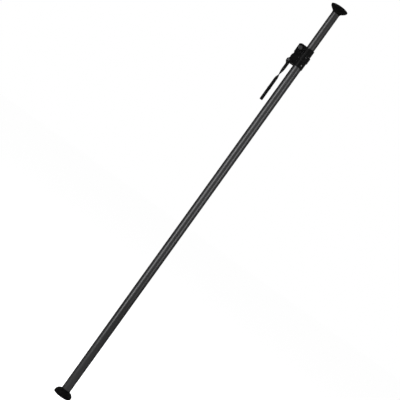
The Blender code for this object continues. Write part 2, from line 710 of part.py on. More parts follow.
def collar():
    """Make the collar casting: a sleeve and ring round the tube, and two cheeks for the lever."""
    ring_bottom = LOWER_TUBE_TOP + COLLAR_RING_BOTTOM_RISE
    soft = 0.0008
    profile = [(0.0, COLLAR_TOP), (RING_RADIUS - soft, COLLAR_TOP), (RING_RADIUS, COLLAR_TOP - soft),
               (RING_RADIUS, ring_bottom), (SLEEVE_RADIUS, ring_bottom - 0.003),
               (SLEEVE_RADIUS, COLLAR_BOTTOM + soft), (SLEEVE_RADIUS - soft, COLLAR_BOTTOM),
               (0.0, COLLAR_BOTTOM)]
    body = turned("collar_body", profile, CASTING)
    root_x = -0.6 * SLEEVE_RADIUS
    lobe = arc((PIVOT_X, PIVOT_Z), LOBE_RADIUS, -35.0, -230.0, 14)
    outline = [(root_x, COLLAR_BOTTOM)] + lobe + [
        (CHEEK_FACE_X, PIVOT_Z + LOBE_RADIUS + 0.004), (CHEEK_FACE_X, CHEEK_CORNER_Z),
        (-NECK_RADIUS, COLLAR_TOP), (root_x, COLLAR_TOP)]
    pin_hole = circle((PIVOT_X, PIVOT_Z), PIVOT_PIN_RADIUS + SEAT_GAP, PIN_STEPS)
    sleeve_hole = circle((PLUNGER_X, PLUNGER_Z), PLUNGER_SLEEVE_RADIUS - PLUNGER_SLEEVE_LIP + SEAT_GAP,
                         PIN_STEPS)
    front = plate("cheek", outline, -CHEEK_OUTER, -CHEEK_INNER, holes=[pin_hole, sleeve_hole])
    back = plate("cheek", outline, CHEEK_INNER, CHEEK_OUTER, holes=[pin_hole])
    body = join(body, front, back)
    above = COLLAR_TOP + OVERCUT
    below = COLLAR_BOTTOM - OVERCUT
    grip = LOWER_TUBE_RADIUS + SEAT_GAP
    bore = turned("bore", [(0.0, above), (RING_BORE, above), (RING_BORE, LOWER_TUBE_TOP),
                           (grip, LOWER_TUBE_TOP), (grip, below), (0.0, below)])
    mouth = box("mouth", (-RING_RADIUS - OVERCUT, -CHEEK_INNER, BUSH_TOP + SLIDE_GAP),
                (-SLEEVE_RADIUS / 3, CHEEK_INNER, above))
    screws = group("screw_holes", spokes(COLLAR_SCREW_Z, COLLAR_SCREW_ANGLES, countersunk(SEAT_GAP)))
    taps = group("taps", [rod("tap", 0.0013, -0.006, 0.002, steps=SCREW_STEPS,
                              place=facing((-1, 0, 0), place)) for place in cover_screw_places()])
    return shade(cut(body, bore, mouth, screws, taps))


def collar_screws():
    """Make the countersunk screws that hold the collar on the lower tube."""
    solids = spokes(COLLAR_SCREW_Z, COLLAR_SCREW_ANGLES, countersunk(0.0))
    return numbered("collar_screw", solids, DARK_STEEL)


def guide_bush():
    """Make the nylon ring in the mouth of the lower tube."""
    return shade(ring("guide_bush", SLIDE_RADIUS, RING_BORE - SEAT_GAP, LOWER_TUBE_TOP + SEAT_GAP,
                      BUSH_TOP, NYLON))


def lever_pin():
    """Make the pin through the cheeks, and the clip on its far end."""
    face = CHEEK_OUTER + SEAT_GAP
    head = face + PIN_HEAD_HEIGHT
    radius = PIVOT_PIN_RADIUS
    end = -(face + PIN_TAIL)
    rim = radius + PIN_HEAD_RIM
    outline = [(0.0, head), (rim - PIN_CHAMFER, head), (rim, head - PIN_CHAMFER), (rim, face),
               (radius, face), (radius, end), (0.0, end)]
    pin = turned("lever_pin", outline, STEEL, PIN_STEPS, place=across(PIVOT_X, PIVOT_Z))
    middle = (PIVOT_X, PIVOT_Z)
    clip_outline = (arc(middle, radius + CLIP_WIDTH, *CLIP_SPAN, PIN_STEPS)
                    + arc(middle, radius + SEAT_GAP, *CLIP_SPAN[::-1], PIN_STEPS))
    clip = plate("pin_clip", clip_outline, face, face + CLIP_THICKNESS, DARK_STEEL)
    return [shade(pin), clip]


def channel_cover():
    """Make the plate that closes the channel above the lever, and its screws."""
    near = CHEEK_FACE_X - SEAT_GAP
    side = CHEEK_OUTER - SEAT_GAP
    cover = box("channel_cover", (near - COVER_THICKNESS, -side, CHEEK_CORNER_Z - COVER_HEIGHT),
                (near, side, CHEEK_CORNER_Z - 0.001), CASTING)
    holes = group("cover_holes", [rod("hole", 0.0013, -0.004, 0.004, steps=SCREW_STEPS,
                                      place=facing((-1, 0, 0), place)) for place in cover_screw_places()])
    cover = cut(cover, holes)
    seat = SEAT_GAP + COVER_THICKNESS + SEAT_GAP
    outline = [(0.0, seat + 0.0009), (0.0014, seat + 0.0009), (0.0022, seat + 0.0003), (0.0022, seat),
               (0.0010, seat), (0.0010, -0.0055), (0.0, -0.0055)]
    solids = [turned("one", outline, steps=SCREW_STEPS, place=facing((-1, 0, 0), place))
              for place in cover_screw_places()]
    return [shade(cover), *numbered("cover_screw", solids, DARK_STEEL)]


def plunger():
    """Make the spring plunger that clicks into a dimple of the closed lever."""
    place = across(PLUNGER_X, PLUNGER_Z)
    nose = WEB_OUTER + SEAT_GAP
    stem = 0.6 * PLUNGER_RADIUS
    face = CHEEK_OUTER + SEAT_GAP
    outer = PLUNGER_SLEEVE_RADIUS - PLUNGER_SLEEVE_LIP
    lip = face + PLUNGER_LIP_HEIGHT
    room = PLUNGER_RADIUS + PLUNGER_SPRING_ROOM
    land = PLUNGER_LAND
    collar_radius = PLUNGER_RADIUS + PLUNGER_SHOULDER
    inner_end = CHEEK_INNER + SEAT_GAP
    sleeve_outline = [(PLUNGER_SLEEVE_RADIUS, lip), (PLUNGER_SLEEVE_RADIUS, face), (outer, face),
                      (outer, inner_end), (PLUNGER_RADIUS + SEAT_GAP, inner_end),
                      (PLUNGER_RADIUS + SEAT_GAP, inner_end + land), (room, inner_end + land),
                      (room, lip - PLUNGER_ROOF), (stem + SEAT_GAP, lip - PLUNGER_ROOF),
                      (stem + SEAT_GAP, lip)]
    sleeve = turned("plunger_sleeve", sleeve_outline, STEEL, PIN_STEPS, closed=True, place=place)
    knob_foot = lip + SEAT_GAP
    knob_top = knob_foot + PLUNGER_KNOB_LENGTH
    shoulder = inner_end + land + SEAT_GAP
    stem_top = knob_top - PLUNGER_KNOB_SKIN
    tip = PLUNGER_NOSE_DEPTH
    pin_outline = [(0.0, stem_top), (stem, stem_top), (stem, shoulder + land),
                   (collar_radius, shoulder + land), (collar_radius, shoulder),
                   (PLUNGER_RADIUS, shoulder), (PLUNGER_RADIUS, nose + 0.7 * tip),
                   (PLUNGER_RADIUS - tip, nose), (0.0, nose)]
    pin = turned("plunger_pin", pin_outline, STEEL, PIN_STEPS, place=place)
    grip = PLUNGER_KNOB_RADIUS
    bore_top = stem_top + SEAT_GAP
    soft = EDGE_SOFTENING
    waist = 0.7 * grip
    knob_outline = [(0.0, knob_top), (grip - soft, knob_top), (grip, knob_top - soft),
                    (grip, knob_foot + grip - waist + soft), (waist, knob_foot + soft), (waist, knob_foot),
                    (stem + SEAT_GAP, knob_foot), (stem + SEAT_GAP, bore_top), (0.0, bore_top)]
    knob = turned("plunger_knob", knob_outline, PLASTIC, PIN_STEPS, place=place)
    spring = coil("plunger_spring", (0, 0), stem + 3 * PLUNGER_SPRING_WIRE, PLUNGER_SPRING_WIRE,
                  shoulder + land + SEAT_GAP, lip - PLUNGER_ROOF - SEAT_GAP, PLUNGER_SPRING_TURNS,
                  DARK_STEEL, place)
    return shade(sleeve), spring, [shade(pin), shade(knob)]


ARM_X = PIVOT_X + 0.0055
NECK_X = PIVOT_X + 0.0033
GRIP_X = PIVOT_X + 0.0019
ARM_TOP = PIVOT_Z - 0.011
NECK_Z = PIVOT_Z - ARM_LENGTH
GRIP_TOP = NECK_Z - 0.0015
TANG_THICKNESS = 0.8 * NECK_THICKNESS


def tang_sections(clearance, top):
    """Return the sections of the tang inside the grip, grown by a clearance."""
    depth = TANG_THICKNESS + 2 * clearance
    width = TANG_WIDTH + 2 * clearance
    return [(top, NECK_X - 0.0003, depth, width), (NECK_Z - 0.018, GRIP_X, depth, width),
            (NECK_Z - TANG_LENGTH - clearance, GRIP_X, depth, width)]


def lever():
    """Make the lever: a forged arm with two webs and a tang, its bushes, crank and grip."""
    width = 2 * WEB_OUTER
    sections = [(ARM_TOP, ARM_X, ARM_DEPTH, width),
                (ARM_TOP - 0.014, ARM_X - 0.0002, ARM_DEPTH, 0.90 * width),
                (ARM_TOP - 0.034, ARM_X - 0.0006, 1.01 * ARM_DEPTH, 0.72 * width),
                (NECK_Z + 0.025, ARM_X - 0.0010, 0.86 * ARM_DEPTH, 0.62 * width),
                (NECK_Z + 0.015, NECK_X + 0.0005, 0.60 * ARM_DEPTH, 0.55 * width),
                (NECK_Z + 0.005, NECK_X + 0.0001, 0.34 * ARM_DEPTH, TANG_WIDTH),
                (NECK_Z, NECK_X, NECK_THICKNESS, TANG_WIDTH)] + tang_sections(0.0, NECK_Z - 0.0015)
    arm = lofted("lever_arm", sections, CASTING)
    middle = (PIVOT_X, PIVOT_Z)
    right = ARM_X + ARM_DEPTH / 2
    left = ARM_X - ARM_DEPTH / 2
    start = -math.degrees(math.acos((right - PIVOT_X) / SECTOR_RADIUS))
    foot_z = ARM_TOP - 0.006
    outline = ([(right, foot_z)] + arc(middle, SECTOR_RADIUS, start, 62.0, 12)
               + arc(middle, HUB_RADIUS, 95.0, 205.0, 10) + [(left, foot_z)])
    bush_radius = PIVOT_PIN_RADIUS + SEAT_GAP + PIVOT_BUSH_WALL
    holes = [circle(middle, bush_radius + SEAT_GAP, PIN_STEPS),
             circle((CRANK_X, CRANK_Z), CRANK_PIN_RADIUS + SEAT_GAP, PIN_STEPS)]
    webs = [plate("web", outline, WEB_INNER if side > 0 else -WEB_OUTER,
                  WEB_OUTER if side > 0 else -WEB_INNER, holes=holes) for side in (-1, 1)]
    arm = join(arm, *webs)
    dimple = rod("dimple", PLUNGER_RADIUS + SEAT_GAP, WEB_OUTER - PLUNGER_NOSE_DEPTH, CHEEK_OUTER,
                 place=across(PLUNGER_X, PLUNGER_Z))
    rivet_z = GRIP_TOP - GRIP_RIVET_DROP
    rivet_hole = rod("rivet_hole", RIVET_RADIUS + SEAT_GAP, -0.02, 0.02, steps=SCREW_STEPS,
                     place=facing((1, 0, 0), (GRIP_X, 0, rivet_z)))
    arm = shade(cut(arm, dimple, rivet_hole))
    bushes = numbered("lever_bush", [
        ring("bush", PIVOT_PIN_RADIUS + SEAT_GAP, bush_radius, low, low + WEB_THICKNESS, steps=PIN_STEPS,
             place=across(PIVOT_X, PIVOT_Z)) for low in (-WEB_OUTER, WEB_INNER)], NYLON)
    crank_pin = rod("crank_pin", CRANK_PIN_RADIUS, -WEB_OUTER, WEB_OUTER, STEEL,
                    place=across(CRANK_X, CRANK_Z))
    roller = ring("crank_roller", CRANK_PIN_RADIUS + SEAT_GAP, CRANK_ROLLER_RADIUS, -LUG_HALF_WIDTH,
                  LUG_HALF_WIDTH, STEEL, PIN_STEPS, across(CRANK_X, CRANK_Z))
    bottom = GRIP_TOP - GRIP_LENGTH
    grip = lofted("lever_grip", [
        (GRIP_TOP, NECK_X, 0.42 * GRIP_DEPTH, 0.72 * GRIP_WIDTH),
        (GRIP_TOP - 0.006, NECK_X - 0.0006, 0.62 * GRIP_DEPTH, 0.84 * GRIP_WIDTH),
        (GRIP_TOP - 0.014, GRIP_X + 0.0004, 0.90 * GRIP_DEPTH, 0.96 * GRIP_WIDTH),
        (GRIP_TOP - 0.021, GRIP_X, GRIP_DEPTH, GRIP_WIDTH),
        (bottom + 0.005, GRIP_X, GRIP_DEPTH, GRIP_WIDTH),
        (bottom + 0.001, GRIP_X, 0.92 * GRIP_DEPTH, 0.94 * GRIP_WIDTH),
        (bottom, GRIP_X, 0.78 * GRIP_DEPTH, 0.84 * GRIP_WIDTH)], PLASTIC)
    slot = lofted("slot", tang_sections(SEAT_GAP, GRIP_TOP + 0.002))
    rivet_hole = rod("rivet_hole", RIVET_RADIUS + SEAT_GAP, -0.02, 0.02, steps=SCREW_STEPS,
                     place=facing((1, 0, 0), (GRIP_X, 0, rivet_z)))
    grip = shade(cut(grip, slot, rivet_hole))
    seat = GRIP_DEPTH / 2 + SEAT_GAP
    crown = seat + RIVET_HEAD_HEIGHT
    edge = seat + 0.3 * RIVET_HEAD_HEIGHT
    half = [(0.0, crown), (0.6 * RIVET_HEAD_RADIUS, crown), (RIVET_HEAD_RADIUS, edge),
            (RIVET_HEAD_RADIUS, seat), (RIVET_RADIUS, seat)]
    outline = half + [(radius, -height) for radius, height in half[::-1]]
    rivet = turned("grip_rivet", outline, DARK_STEEL, SCREW_STEPS,
                   place=facing((1, 0, 0), (GRIP_X, 0, rivet_z)))
    return [arm, *bushes, shade(crank_pin), shade(roller), grip, shade(rivet)]


CAP_END_X = CARRIER_FACE_X + CAP_SLOPE_LENGTH
WEDGE_SLOPE = math.tan(math.radians(WEDGE_ANGLE))
CAVITY_FLOOR = JAW_BOTTOM - SLIDE_GAP
CHAMBER_X = CAP_END_X + 0.0012
SPINDLE_PIN_X = SPINDLE_X + SPINDLE_THROW * math.cos(math.radians(SPINDLE_TURN / 2))
SPINDLE_PIN_Z = SPINDLE_Z - SPINDLE_THROW * math.sin(math.radians(SPINDLE_TURN / 2))
CHAMBER_HALF_WIDTH = EAR_HALF_WIDTH + SLIDE_GAP
CAP_SCREW_PLACES = [(SPINDLE_X + reach, side * (CARRIER_HALF_WIDTH - 0.0034))
                    for reach in (0.0015, 0.0135) for side in (-1, 1)]
SET_SCREW_Y = -(CARRIER_HALF_WIDTH - SET_SCREW_INSET)


def rail_x(height):
    """Return x of the rails' sloping face at a height."""
    return RAIL_FOOT_X - WEDGE_SLOPE * (height - JAW_BOTTOM)


def carrier_outline():
    """Return the side outline of the carrier's block, with the step that the cap lies in."""
    root = -NECK_RADIUS / 3
    top = CARRIER_TOP - STEP_BACK
    return [(root, CARRIER_BOTTOM), (-NECK_RADIUS, CARRIER_BOTTOM),
            (CARRIER_FACE_X, slope_height(CARRIER_FACE_X) + CARRIER_GAP),
            (CARRIER_FACE_X, CAP_TOP - CAP_SLOPE_DROP), (CAP_END_X - SEAT_GAP, CAP_TOP),
            (CAP_END_X - SEAT_GAP, top), (root, top)]


def carrier():
    """Make the carrier casting: a neck round the tube, a block, a tongue and the crank's lug."""
    body = rod("carrier_body", NECK_RADIUS, NECK_BOTTOM, CARRIER_TOP, CASTING, TUBE_STEPS)
    block = plate("block", carrier_outline(), -CARRIER_HALF_WIDTH, CARRIER_HALF_WIDTH)
    tongue_bottom = PIVOT_Z + TONGUE_BOTTOM_RISE
    side = TONGUE_HALF_WIDTH
    tongue_x = -(RING_RADIUS + SLIDE_GAP)
    tongue = box("tongue", (PIVOT_X, -side, tongue_bottom), (tongue_x, side, CARRIER_BOTTOM + 0.002))
    throat = box("throat", (tongue_x - 0.002, -side, NECK_BOTTOM + 0.0005),
                 (-0.6 * NECK_RADIUS, side, CARRIER_BOTTOM + 0.003))
    lug = box("lug", (CRANK_X - 0.0014, -LUG_HALF_WIDTH, CRANK_Z - CRANK_ROLLER_RADIUS - 0.005),
              (-(SLEEVE_RADIUS + 0.0065), LUG_HALF_WIDTH, tongue_bottom + 0.002))
    body = join(body, block, tongue, throat, lug)
    slot_half = CRANK_ROLLER_RADIUS + CRANK_SLOT_GAP
    slot = box("slot", (PIVOT_X - OVERCUT, -CHEEK_OUTER, CRANK_Z - slot_half),
               (PIVOT_X + CRANK_RADIUS + CRANK_ROLLER_RADIUS + SLIDE_GAP, CHEEK_OUTER, CRANK_Z + slot_half))
    bush_top = NECK_BOTTOM + CARRIER_BUSH_HEIGHT + SEAT_GAP
    bush_pocket = SLIDE_RADIUS + CARRIER_BUSH_WALL + SEAT_GAP
    bore = turned("bore", [(0.0, CAP_TOP), (CARRIER_BORE, CAP_TOP), (CARRIER_BORE, bush_top),
                           (bush_pocket, bush_top), (bush_pocket, NECK_BOTTOM - OVERCUT),
                           (0.0, NECK_BOTTOM - OVERCUT)])
    top = CARRIER_TOP + OVERCUT
    back = RAIL_THICKNESS + SEAT_GAP
    near = -0.7 * CARRIER_BORE
    cavity = plate("cavity", [(near, CAVITY_FLOOR), (rail_x(CAVITY_FLOOR) - back, CAVITY_FLOOR),
                              (rail_x(top) - back, top), (near, top)],
                   -JAW_HALF_WIDTH - SEAT_GAP, JAW_HALF_WIDTH + SEAT_GAP)
    chamber = box("chamber", (CHAMBER_X, -CHAMBER_HALF_WIDTH, CAVITY_FLOOR),
                  (RAIL_FOOT_X, CHAMBER_HALF_WIDTH, top))
    spindle_bore = rod("spindle_bore", SPINDLE_RADIUS + SEAT_GAP, 0.0, 2 * CARRIER_HALF_WIDTH,
                       place=across(SPINDLE_X, SPINDLE_Z))
    drilled = CARRIER_TOP - CAP_SCREW_LENGTH - 2 * SEAT_GAP
    taps = group("taps", [rod("tap", CAP_SCREW_RADIUS + SEAT_GAP, drilled, top, steps=SCREW_STEPS,
                              place=Matrix.Translation((x, y, 0))) for x, y in CAP_SCREW_PLACES])
    set_hole = rod("set_hole", SET_SCREW_RADIUS + SEAT_GAP, -SPINDLE_X, -CARRIER_FACE_X + OVERCUT,
                   steps=SCREW_STEPS, place=facing((-1, 0, 0), (0, SET_SCREW_Y, SPINDLE_Z)))
    return shade(cut(body, slot, bore, cavity, chamber, spindle_bore, taps, set_hole))


def carrier_cap():
    """Make the plate on top of the carrier, and its screws."""
    low = CARRIER_TOP + SEAT_GAP
    half = CARRIER_HALF_WIDTH
    meet = math.degrees(math.asin(half / NECK_RADIUS))
    outline = arc((0, 0), NECK_RADIUS, meet - 180.0, 180.0 - meet, TUBE_STEPS - 8) + [
        (CAP_END_X, half), (CAP_END_X, -half)]
    holes = [circle((0, 0), CARRIER_BORE, TUBE_STEPS)]
    holes += [circle(place, CAP_SCREW_RADIUS + SEAT_GAP, SCREW_STEPS) for place in CAP_SCREW_PLACES]
    cap = shade(slab("carrier_cap", outline, low, CAP_TOP, CASTING, holes))
    seat = CAP_TOP + SEAT_GAP
    head = CAP_SCREW_HEAD_RADIUS
    crown = seat + CAP_SCREW_HEAD_HEIGHT
    tip = CARRIER_TOP - CAP_SCREW_LENGTH
    outline = [(0.0, crown), (0.7 * head, crown), (head, (seat + crown) / 2), (head, seat),
               (CAP_SCREW_RADIUS, seat), (CAP_SCREW_RADIUS, tip), (0.0, tip)]
    solids = [turned("one", outline, steps=SCREW_STEPS, place=Matrix.Translation((x, y, 0)))
              for x, y in CAP_SCREW_PLACES]
    return [cap, *numbered("cap_screw", solids, DARK_STEEL)]


def carrier_bush():
    """Make the nylon ring in the carrier's neck."""
    return shade(ring("carrier_bush", SLIDE_RADIUS, SLIDE_RADIUS + CARRIER_BUSH_WALL, NECK_BOTTOM,
                      NECK_BOTTOM + CARRIER_BUSH_HEIGHT, NYLON))


def wedge_rails():
    """Make the two hard strips that the jaw climbs on."""
    top = CARRIER_TOP - SEAT_GAP
    low = CAVITY_FLOOR + SEAT_GAP
    outline = [(rail_x(low), low), (rail_x(low) - RAIL_THICKNESS, low), (rail_x(top) - RAIL_THICKNESS, top),
               (rail_x(top), top)]
    inner = CHAMBER_HALF_WIDTH
    solids = [plate("rail", outline, inner if side > 0 else -JAW_HALF_WIDTH,
                    JAW_HALF_WIDTH if side > 0 else -inner) for side in (-1, 1)]
    return numbered("wedge_rail", solids, STEEL)


SPRING_X = -(JAW_FACE_RADIUS + JAW_SPRING_REACH)
SPRING_FLOOR = JAW_BOTTOM + JAW_HEIGHT - JAW_SPRING_DEPTH


def jaw():
    """Make the wedge jaw with its ear, and the lining that touches the upper tube."""
    top = JAW_BOTTOM + JAW_HEIGHT
    back = SEAT_GAP / math.cos(math.radians(WEDGE_ANGLE))
    near = -0.7 * JAW_FACE_RADIUS
    body = plate("grip_jaw", [(near, JAW_BOTTOM), (rail_x(JAW_BOTTOM) + back, JAW_BOTTOM),
                              (rail_x(top) + back, top), (near, top)],
                 -JAW_HALF_WIDTH, JAW_HALF_WIDTH, STEEL)
    ear = box("ear", (SPINDLE_PIN_X - 0.0026, -EAR_HALF_WIDTH, SPINDLE_PIN_Z - 0.0045),
              (RAIL_FOOT_X + 0.004, EAR_HALF_WIDTH, SPINDLE_PIN_Z + 0.0045))
    slot_half = SPINDLE_PIN_RADIUS + 0.0004
    slot = box("slot", (SPINDLE_PIN_X - 0.01, -0.02, SPINDLE_PIN_Z - slot_half),
               (SPINDLE_X + SPINDLE_THROW + slot_half + 0.0012, 0.02, SPINDLE_PIN_Z + slot_half))
    face = rod("face", JAW_FACE_RADIUS, JAW_BOTTOM - 0.01, top + 0.01, steps=TUBE_STEPS)
    pocket = rod("pocket", JAW_SPRING_POCKET, SPRING_FLOOR, top + OVERCUT,
                 place=Matrix.Translation((SPRING_X, 0, 0)))
    body = cut(join(body, ear), slot, face, pocket)
    pad = ring("jaw_pad", PAD_RADIUS, PAD_RADIUS + PAD_THICKNESS, JAW_BOTTOM + 0.001, top - 0.001, LINING)
    keep = box("keep", (-0.03, -JAW_HALF_WIDTH + 0.0005, JAW_BOTTOM), (-0.01, JAW_HALF_WIDTH - 0.0005, top))
    pad = combine(pad, "INTERSECT", [keep])
    return [shade(body), shade(pad)]


def release():
    """Make the knob and the spindle whose off-centre pin lifts the jaw."""
    place = across(SPINDLE_X, SPINDLE_Z)
    face = CARRIER_HALF_WIDTH + SEAT_GAP
    inner = CHAMBER_HALF_WIDTH
    shaft_end = face + SPINDLE_STUB
    groove = SPINDLE_GROOVE_HALF
    mid = -SET_SCREW_Y
    outline = [(0.0, shaft_end), (SPINDLE_RADIUS, shaft_end), (SPINDLE_RADIUS, mid + groove),
               (SPINDLE_RADIUS - SPINDLE_GROOVE_DEPTH, mid + groove),
               (SPINDLE_RADIUS - SPINDLE_GROOVE_DEPTH, mid - groove),
               (SPINDLE_RADIUS, mid - groove), (SPINDLE_RADIUS, inner), (0.0, inner)]
    spindle = turned("release_spindle", outline, STEEL, PIN_STEPS, place=place)
    pin = rod("off_centre_pin", SPINDLE_PIN_RADIUS, -EAR_HALF_WIDTH, inner + 0.002, steps=SCREW_STEPS,
              place=across(SPINDLE_PIN_X, SPINDLE_PIN_Z))
    tap = rod("tap", KNOB_SCREW_RADIUS + SEAT_GAP, shaft_end - KNOB_SCREW_REACH - OVERCUT / 10,
              shaft_end + OVERCUT, steps=SCREW_STEPS, place=place)
    spindle = shade(cut(join(spindle, pin), tap))
    top = face + KNOB_THICKNESS
    edge = KNOB_RADIUS
    floor = shaft_end + SEAT_GAP
    dish = KNOB_DISH_RADIUS
    sunk = top - KNOB_DISH_DEPTH
    soft = EDGE_SOFTENING
    socket = SPINDLE_RADIUS + SEAT_GAP
    hole = KNOB_SCREW_RADIUS + SEAT_GAP
    knob = turned("release_knob", [
        (dish, sunk), (dish, top - soft / 2), (dish + soft / 2, top), (edge - 2 * soft, top),
        (edge - soft / 2, top - soft / 2), (edge, top - 2 * soft), (edge, face + soft), (edge - soft, face),
        (socket, face), (socket, floor), (hole, floor), (hole, sunk)],
        PLASTIC, KNOB_STEPS, closed=True, place=place)
    seat = sunk + SEAT_GAP
    crown = seat + KNOB_SCREW_HEAD_HEIGHT
    head = KNOB_SCREW_HEAD_RADIUS
    shank = KNOB_SCREW_RADIUS
    end = shaft_end - KNOB_SCREW_REACH
    outline = [(0.0, crown), (0.7 * head, crown), (head, (seat + crown) / 2), (head, seat), (shank, seat),
               (shank, end), (0.0, end)]
    screw = turned("knob_screw", outline, DARK_STEEL, SCREW_STEPS, place=place)
    return [shade(knob), spindle, shade(screw)]


def set_screw():
    """Make the screw that keeps the spindle in the carrier by its groove."""
    tip = -SPINDLE_X + SPINDLE_RADIUS - SPINDLE_GROOVE_DEPTH + SEAT_GAP
    return shade(rod("set_screw", SET_SCREW_RADIUS, tip, -CARRIER_FACE_X - 0.0005, DARK_STEEL, SCREW_STEPS,
                     facing((-1, 0, 0), (0, SET_SCREW_Y, SPINDLE_Z))))


def jaw_spring():
    """Make the spring that pushes the jaw down into its wedge."""
    return coil("jaw_spring", (SPRING_X, 0.0), JAW_SPRING_RADIUS, JAW_SPRING_WIRE,
                SPRING_FLOOR + SEAT_GAP, CARRIER_TOP, JAW_SPRING_TURNS, DARK_STEEL)


def upper_column():
    """Make the upper tube with its plug, cup, screw, washer, rivets and glide."""
    top = POLE_HEIGHT - CEILING_SEAT - SEAT_GAP
    tube = ring("upper_tube", UPPER_BORE, UPPER_TUBE_RADIUS, UPPER_TUBE_BOTTOM, top, ANODISED)
    tube = shade(cut(tube, rivet_holes(CEILING_RIVET_Z, UPPER_TUBE_RADIUS, RIVET_ANGLES),
                     rivet_holes(GLIDE_RIVET_Z, UPPER_TUBE_RADIUS, GLIDE_RIVET_ANGLES)))
    slide = GLIDE_BOTTOM + GLIDE_LENGTH
    spigot = UPPER_BORE - SEAT_GAP
    waist = GLIDE_RADIUS - GLIDE_WAIST_DEPTH
    spigot_top = UPPER_TUBE_BOTTOM + PLUG_SPIGOT_LENGTH
    upper_ring = slide - GLIDE_RING_LENGTH
    lower_ring = GLIDE_BOTTOM + GLIDE_RING_LENGTH
    slope = GLIDE_RADIUS - waist
    soft = EDGE_SOFTENING
    outline = [(spigot, spigot_top), (spigot, slide), (GLIDE_RADIUS, slide), (GLIDE_RADIUS, upper_ring),
               (waist, upper_ring - slope), (waist, lower_ring + slope), (GLIDE_RADIUS, lower_ring),
               (GLIDE_RADIUS, GLIDE_BOTTOM + soft), (GLIDE_RADIUS - soft, GLIDE_BOTTOM),
               (GLIDE_BORE_RADIUS, GLIDE_BOTTOM), (GLIDE_BORE_RADIUS, spigot_top)]
    glide = turned("tube_glide", outline, NYLON, closed=True)
    flush = UPPER_TUBE_RADIUS
    holes = [rod("hole", RIVET_RADIUS + SEAT_GAP, GLIDE_BORE_RADIUS - 0.002, flush, steps=SCREW_STEPS,
                 place=radial(angle, GLIDE_RIVET_Z)) for angle in GLIDE_RIVET_ANGLES]
    glide = shade(cut(glide, group("glide_holes", holes)))
    pins = [rod("one", RIVET_RADIUS, flush - RIVET_LENGTH, flush, steps=SCREW_STEPS,
                place=radial(angle, GLIDE_RIVET_Z)) for angle in GLIDE_RIVET_ANGLES]
    return [
        tube, glide, *numbered("glide_rivet", pins, DARK_STEEL),
        cup("ceiling_cup", POLE_HEIGHT, -1, CEILING_CUP_HEIGHT, CEILING_SKIRT_HEIGHT,
            UPPER_TUBE_RADIUS + CUP_NECK_WALL, CEILING_BULGE),
        end_plug("ceiling_plug", POLE_HEIGHT, -1, CEILING_CUP_HEIGHT, UPPER_TUBE_RADIUS, UPPER_BORE),
        end_screw("ceiling_screw", POLE_HEIGHT, -1),
        end_washer("ceiling_washer", POLE_HEIGHT, -1),
        *rivets("ceiling_rivet", CEILING_RIVET_Z, UPPER_TUBE_RADIUS, RIVET_ANGLES),
    ]


def build():
    """Make every piece and hang the moving ones on empties at their joints."""
    foot()
    lower_tube()
    stop_screws()
    collar()
    collar_screws()
    guide_bush()
    lever_pin()
    channel_cover()
    pull_pieces = plunger()[2]
    lever_pieces = lever()
    carried = [carrier(), *carrier_cap(), carrier_bush(), *wedge_rails(), set_screw(), jaw_spring()]
    jaw_pieces = jaw()
    knob_pieces = release()
    slide_pieces = upper_column()
    lever_axis = parent_empty("lever_axis", (PIVOT_X, 0, PIVOT_Z))
    lift_axis = parent_empty("lift_axis", (0, 0, CARRIER_BOTTOM))
    pole_axis = parent_empty("pole_axis", (0, 0, UPPER_TUBE_BOTTOM))
    jaw_axis = parent_empty("jaw_axis", (RAIL_FOOT_X, 0, JAW_BOTTOM))
    knob_axis = parent_empty("knob_axis", (SPINDLE_X, 0, SPINDLE_Z))
    plunger_axis = parent_empty("plunger_axis", (PLUNGER_X, -WEB_OUTER, PLUNGER_Z))
    carry(lever_axis, lever_pieces)
    carry(plunger_axis, pull_pieces)
    carry(lift_axis, carried + [pole_axis, jaw_axis, knob_axis])
    carry(pole_axis, slide_pieces)
    carry(jaw_axis, jaw_pieces)
    carry(knob_axis, knob_pieces)


build()
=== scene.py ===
"""Looks of a floor-to-ceiling pole with a lever clamp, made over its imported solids.

The pole stands along +Z on the origin. Its lever hangs on the -X side and its release knob
stands on the -Y side. Every size is in metres.
"""
from __future__ import annotations

import logging
import math
from collections.abc import Callable, Sequence
from dataclasses import dataclass, field
from enum import Enum
from functools import cache

import bmesh
import bpy
from mathutils import Matrix, Vector


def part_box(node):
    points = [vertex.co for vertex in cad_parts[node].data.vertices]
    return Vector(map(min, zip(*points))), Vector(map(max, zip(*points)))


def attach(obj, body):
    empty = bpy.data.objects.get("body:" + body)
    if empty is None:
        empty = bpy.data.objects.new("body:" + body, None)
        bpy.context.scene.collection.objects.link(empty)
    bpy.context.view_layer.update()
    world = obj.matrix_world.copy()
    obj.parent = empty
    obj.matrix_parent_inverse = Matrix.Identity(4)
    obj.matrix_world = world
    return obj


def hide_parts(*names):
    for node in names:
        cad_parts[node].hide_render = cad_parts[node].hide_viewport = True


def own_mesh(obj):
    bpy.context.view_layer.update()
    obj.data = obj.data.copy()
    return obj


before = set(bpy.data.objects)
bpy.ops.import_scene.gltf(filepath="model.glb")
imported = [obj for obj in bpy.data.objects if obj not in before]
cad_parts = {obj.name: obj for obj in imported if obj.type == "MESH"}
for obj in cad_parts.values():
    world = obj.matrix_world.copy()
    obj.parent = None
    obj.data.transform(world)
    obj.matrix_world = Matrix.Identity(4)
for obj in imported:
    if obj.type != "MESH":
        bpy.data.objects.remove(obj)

LOG = logging.getLogger("pole")
Colour = tuple[float, float, float]
Point = tuple[float, float, float]
Profile = Sequence[tuple[float, float]]

SHARP_DEGREES = 35.0
ROUNDED_DEGREES = 30.0
FLAT_DEGREES = 0.5
ROUNDING_FACES = 2
WELD = 1e-7
MERGE = 1e-6
SEAT = 0.0001
CHEEK_GAP = 0.0002
RIDGE_HALF = 0.00045
DUST = (0.16, 0.155, 0.145)
BARE_METAL = (0.2, 0.2, 0.2)
WHITE = (1.0, 1.0, 1.0)


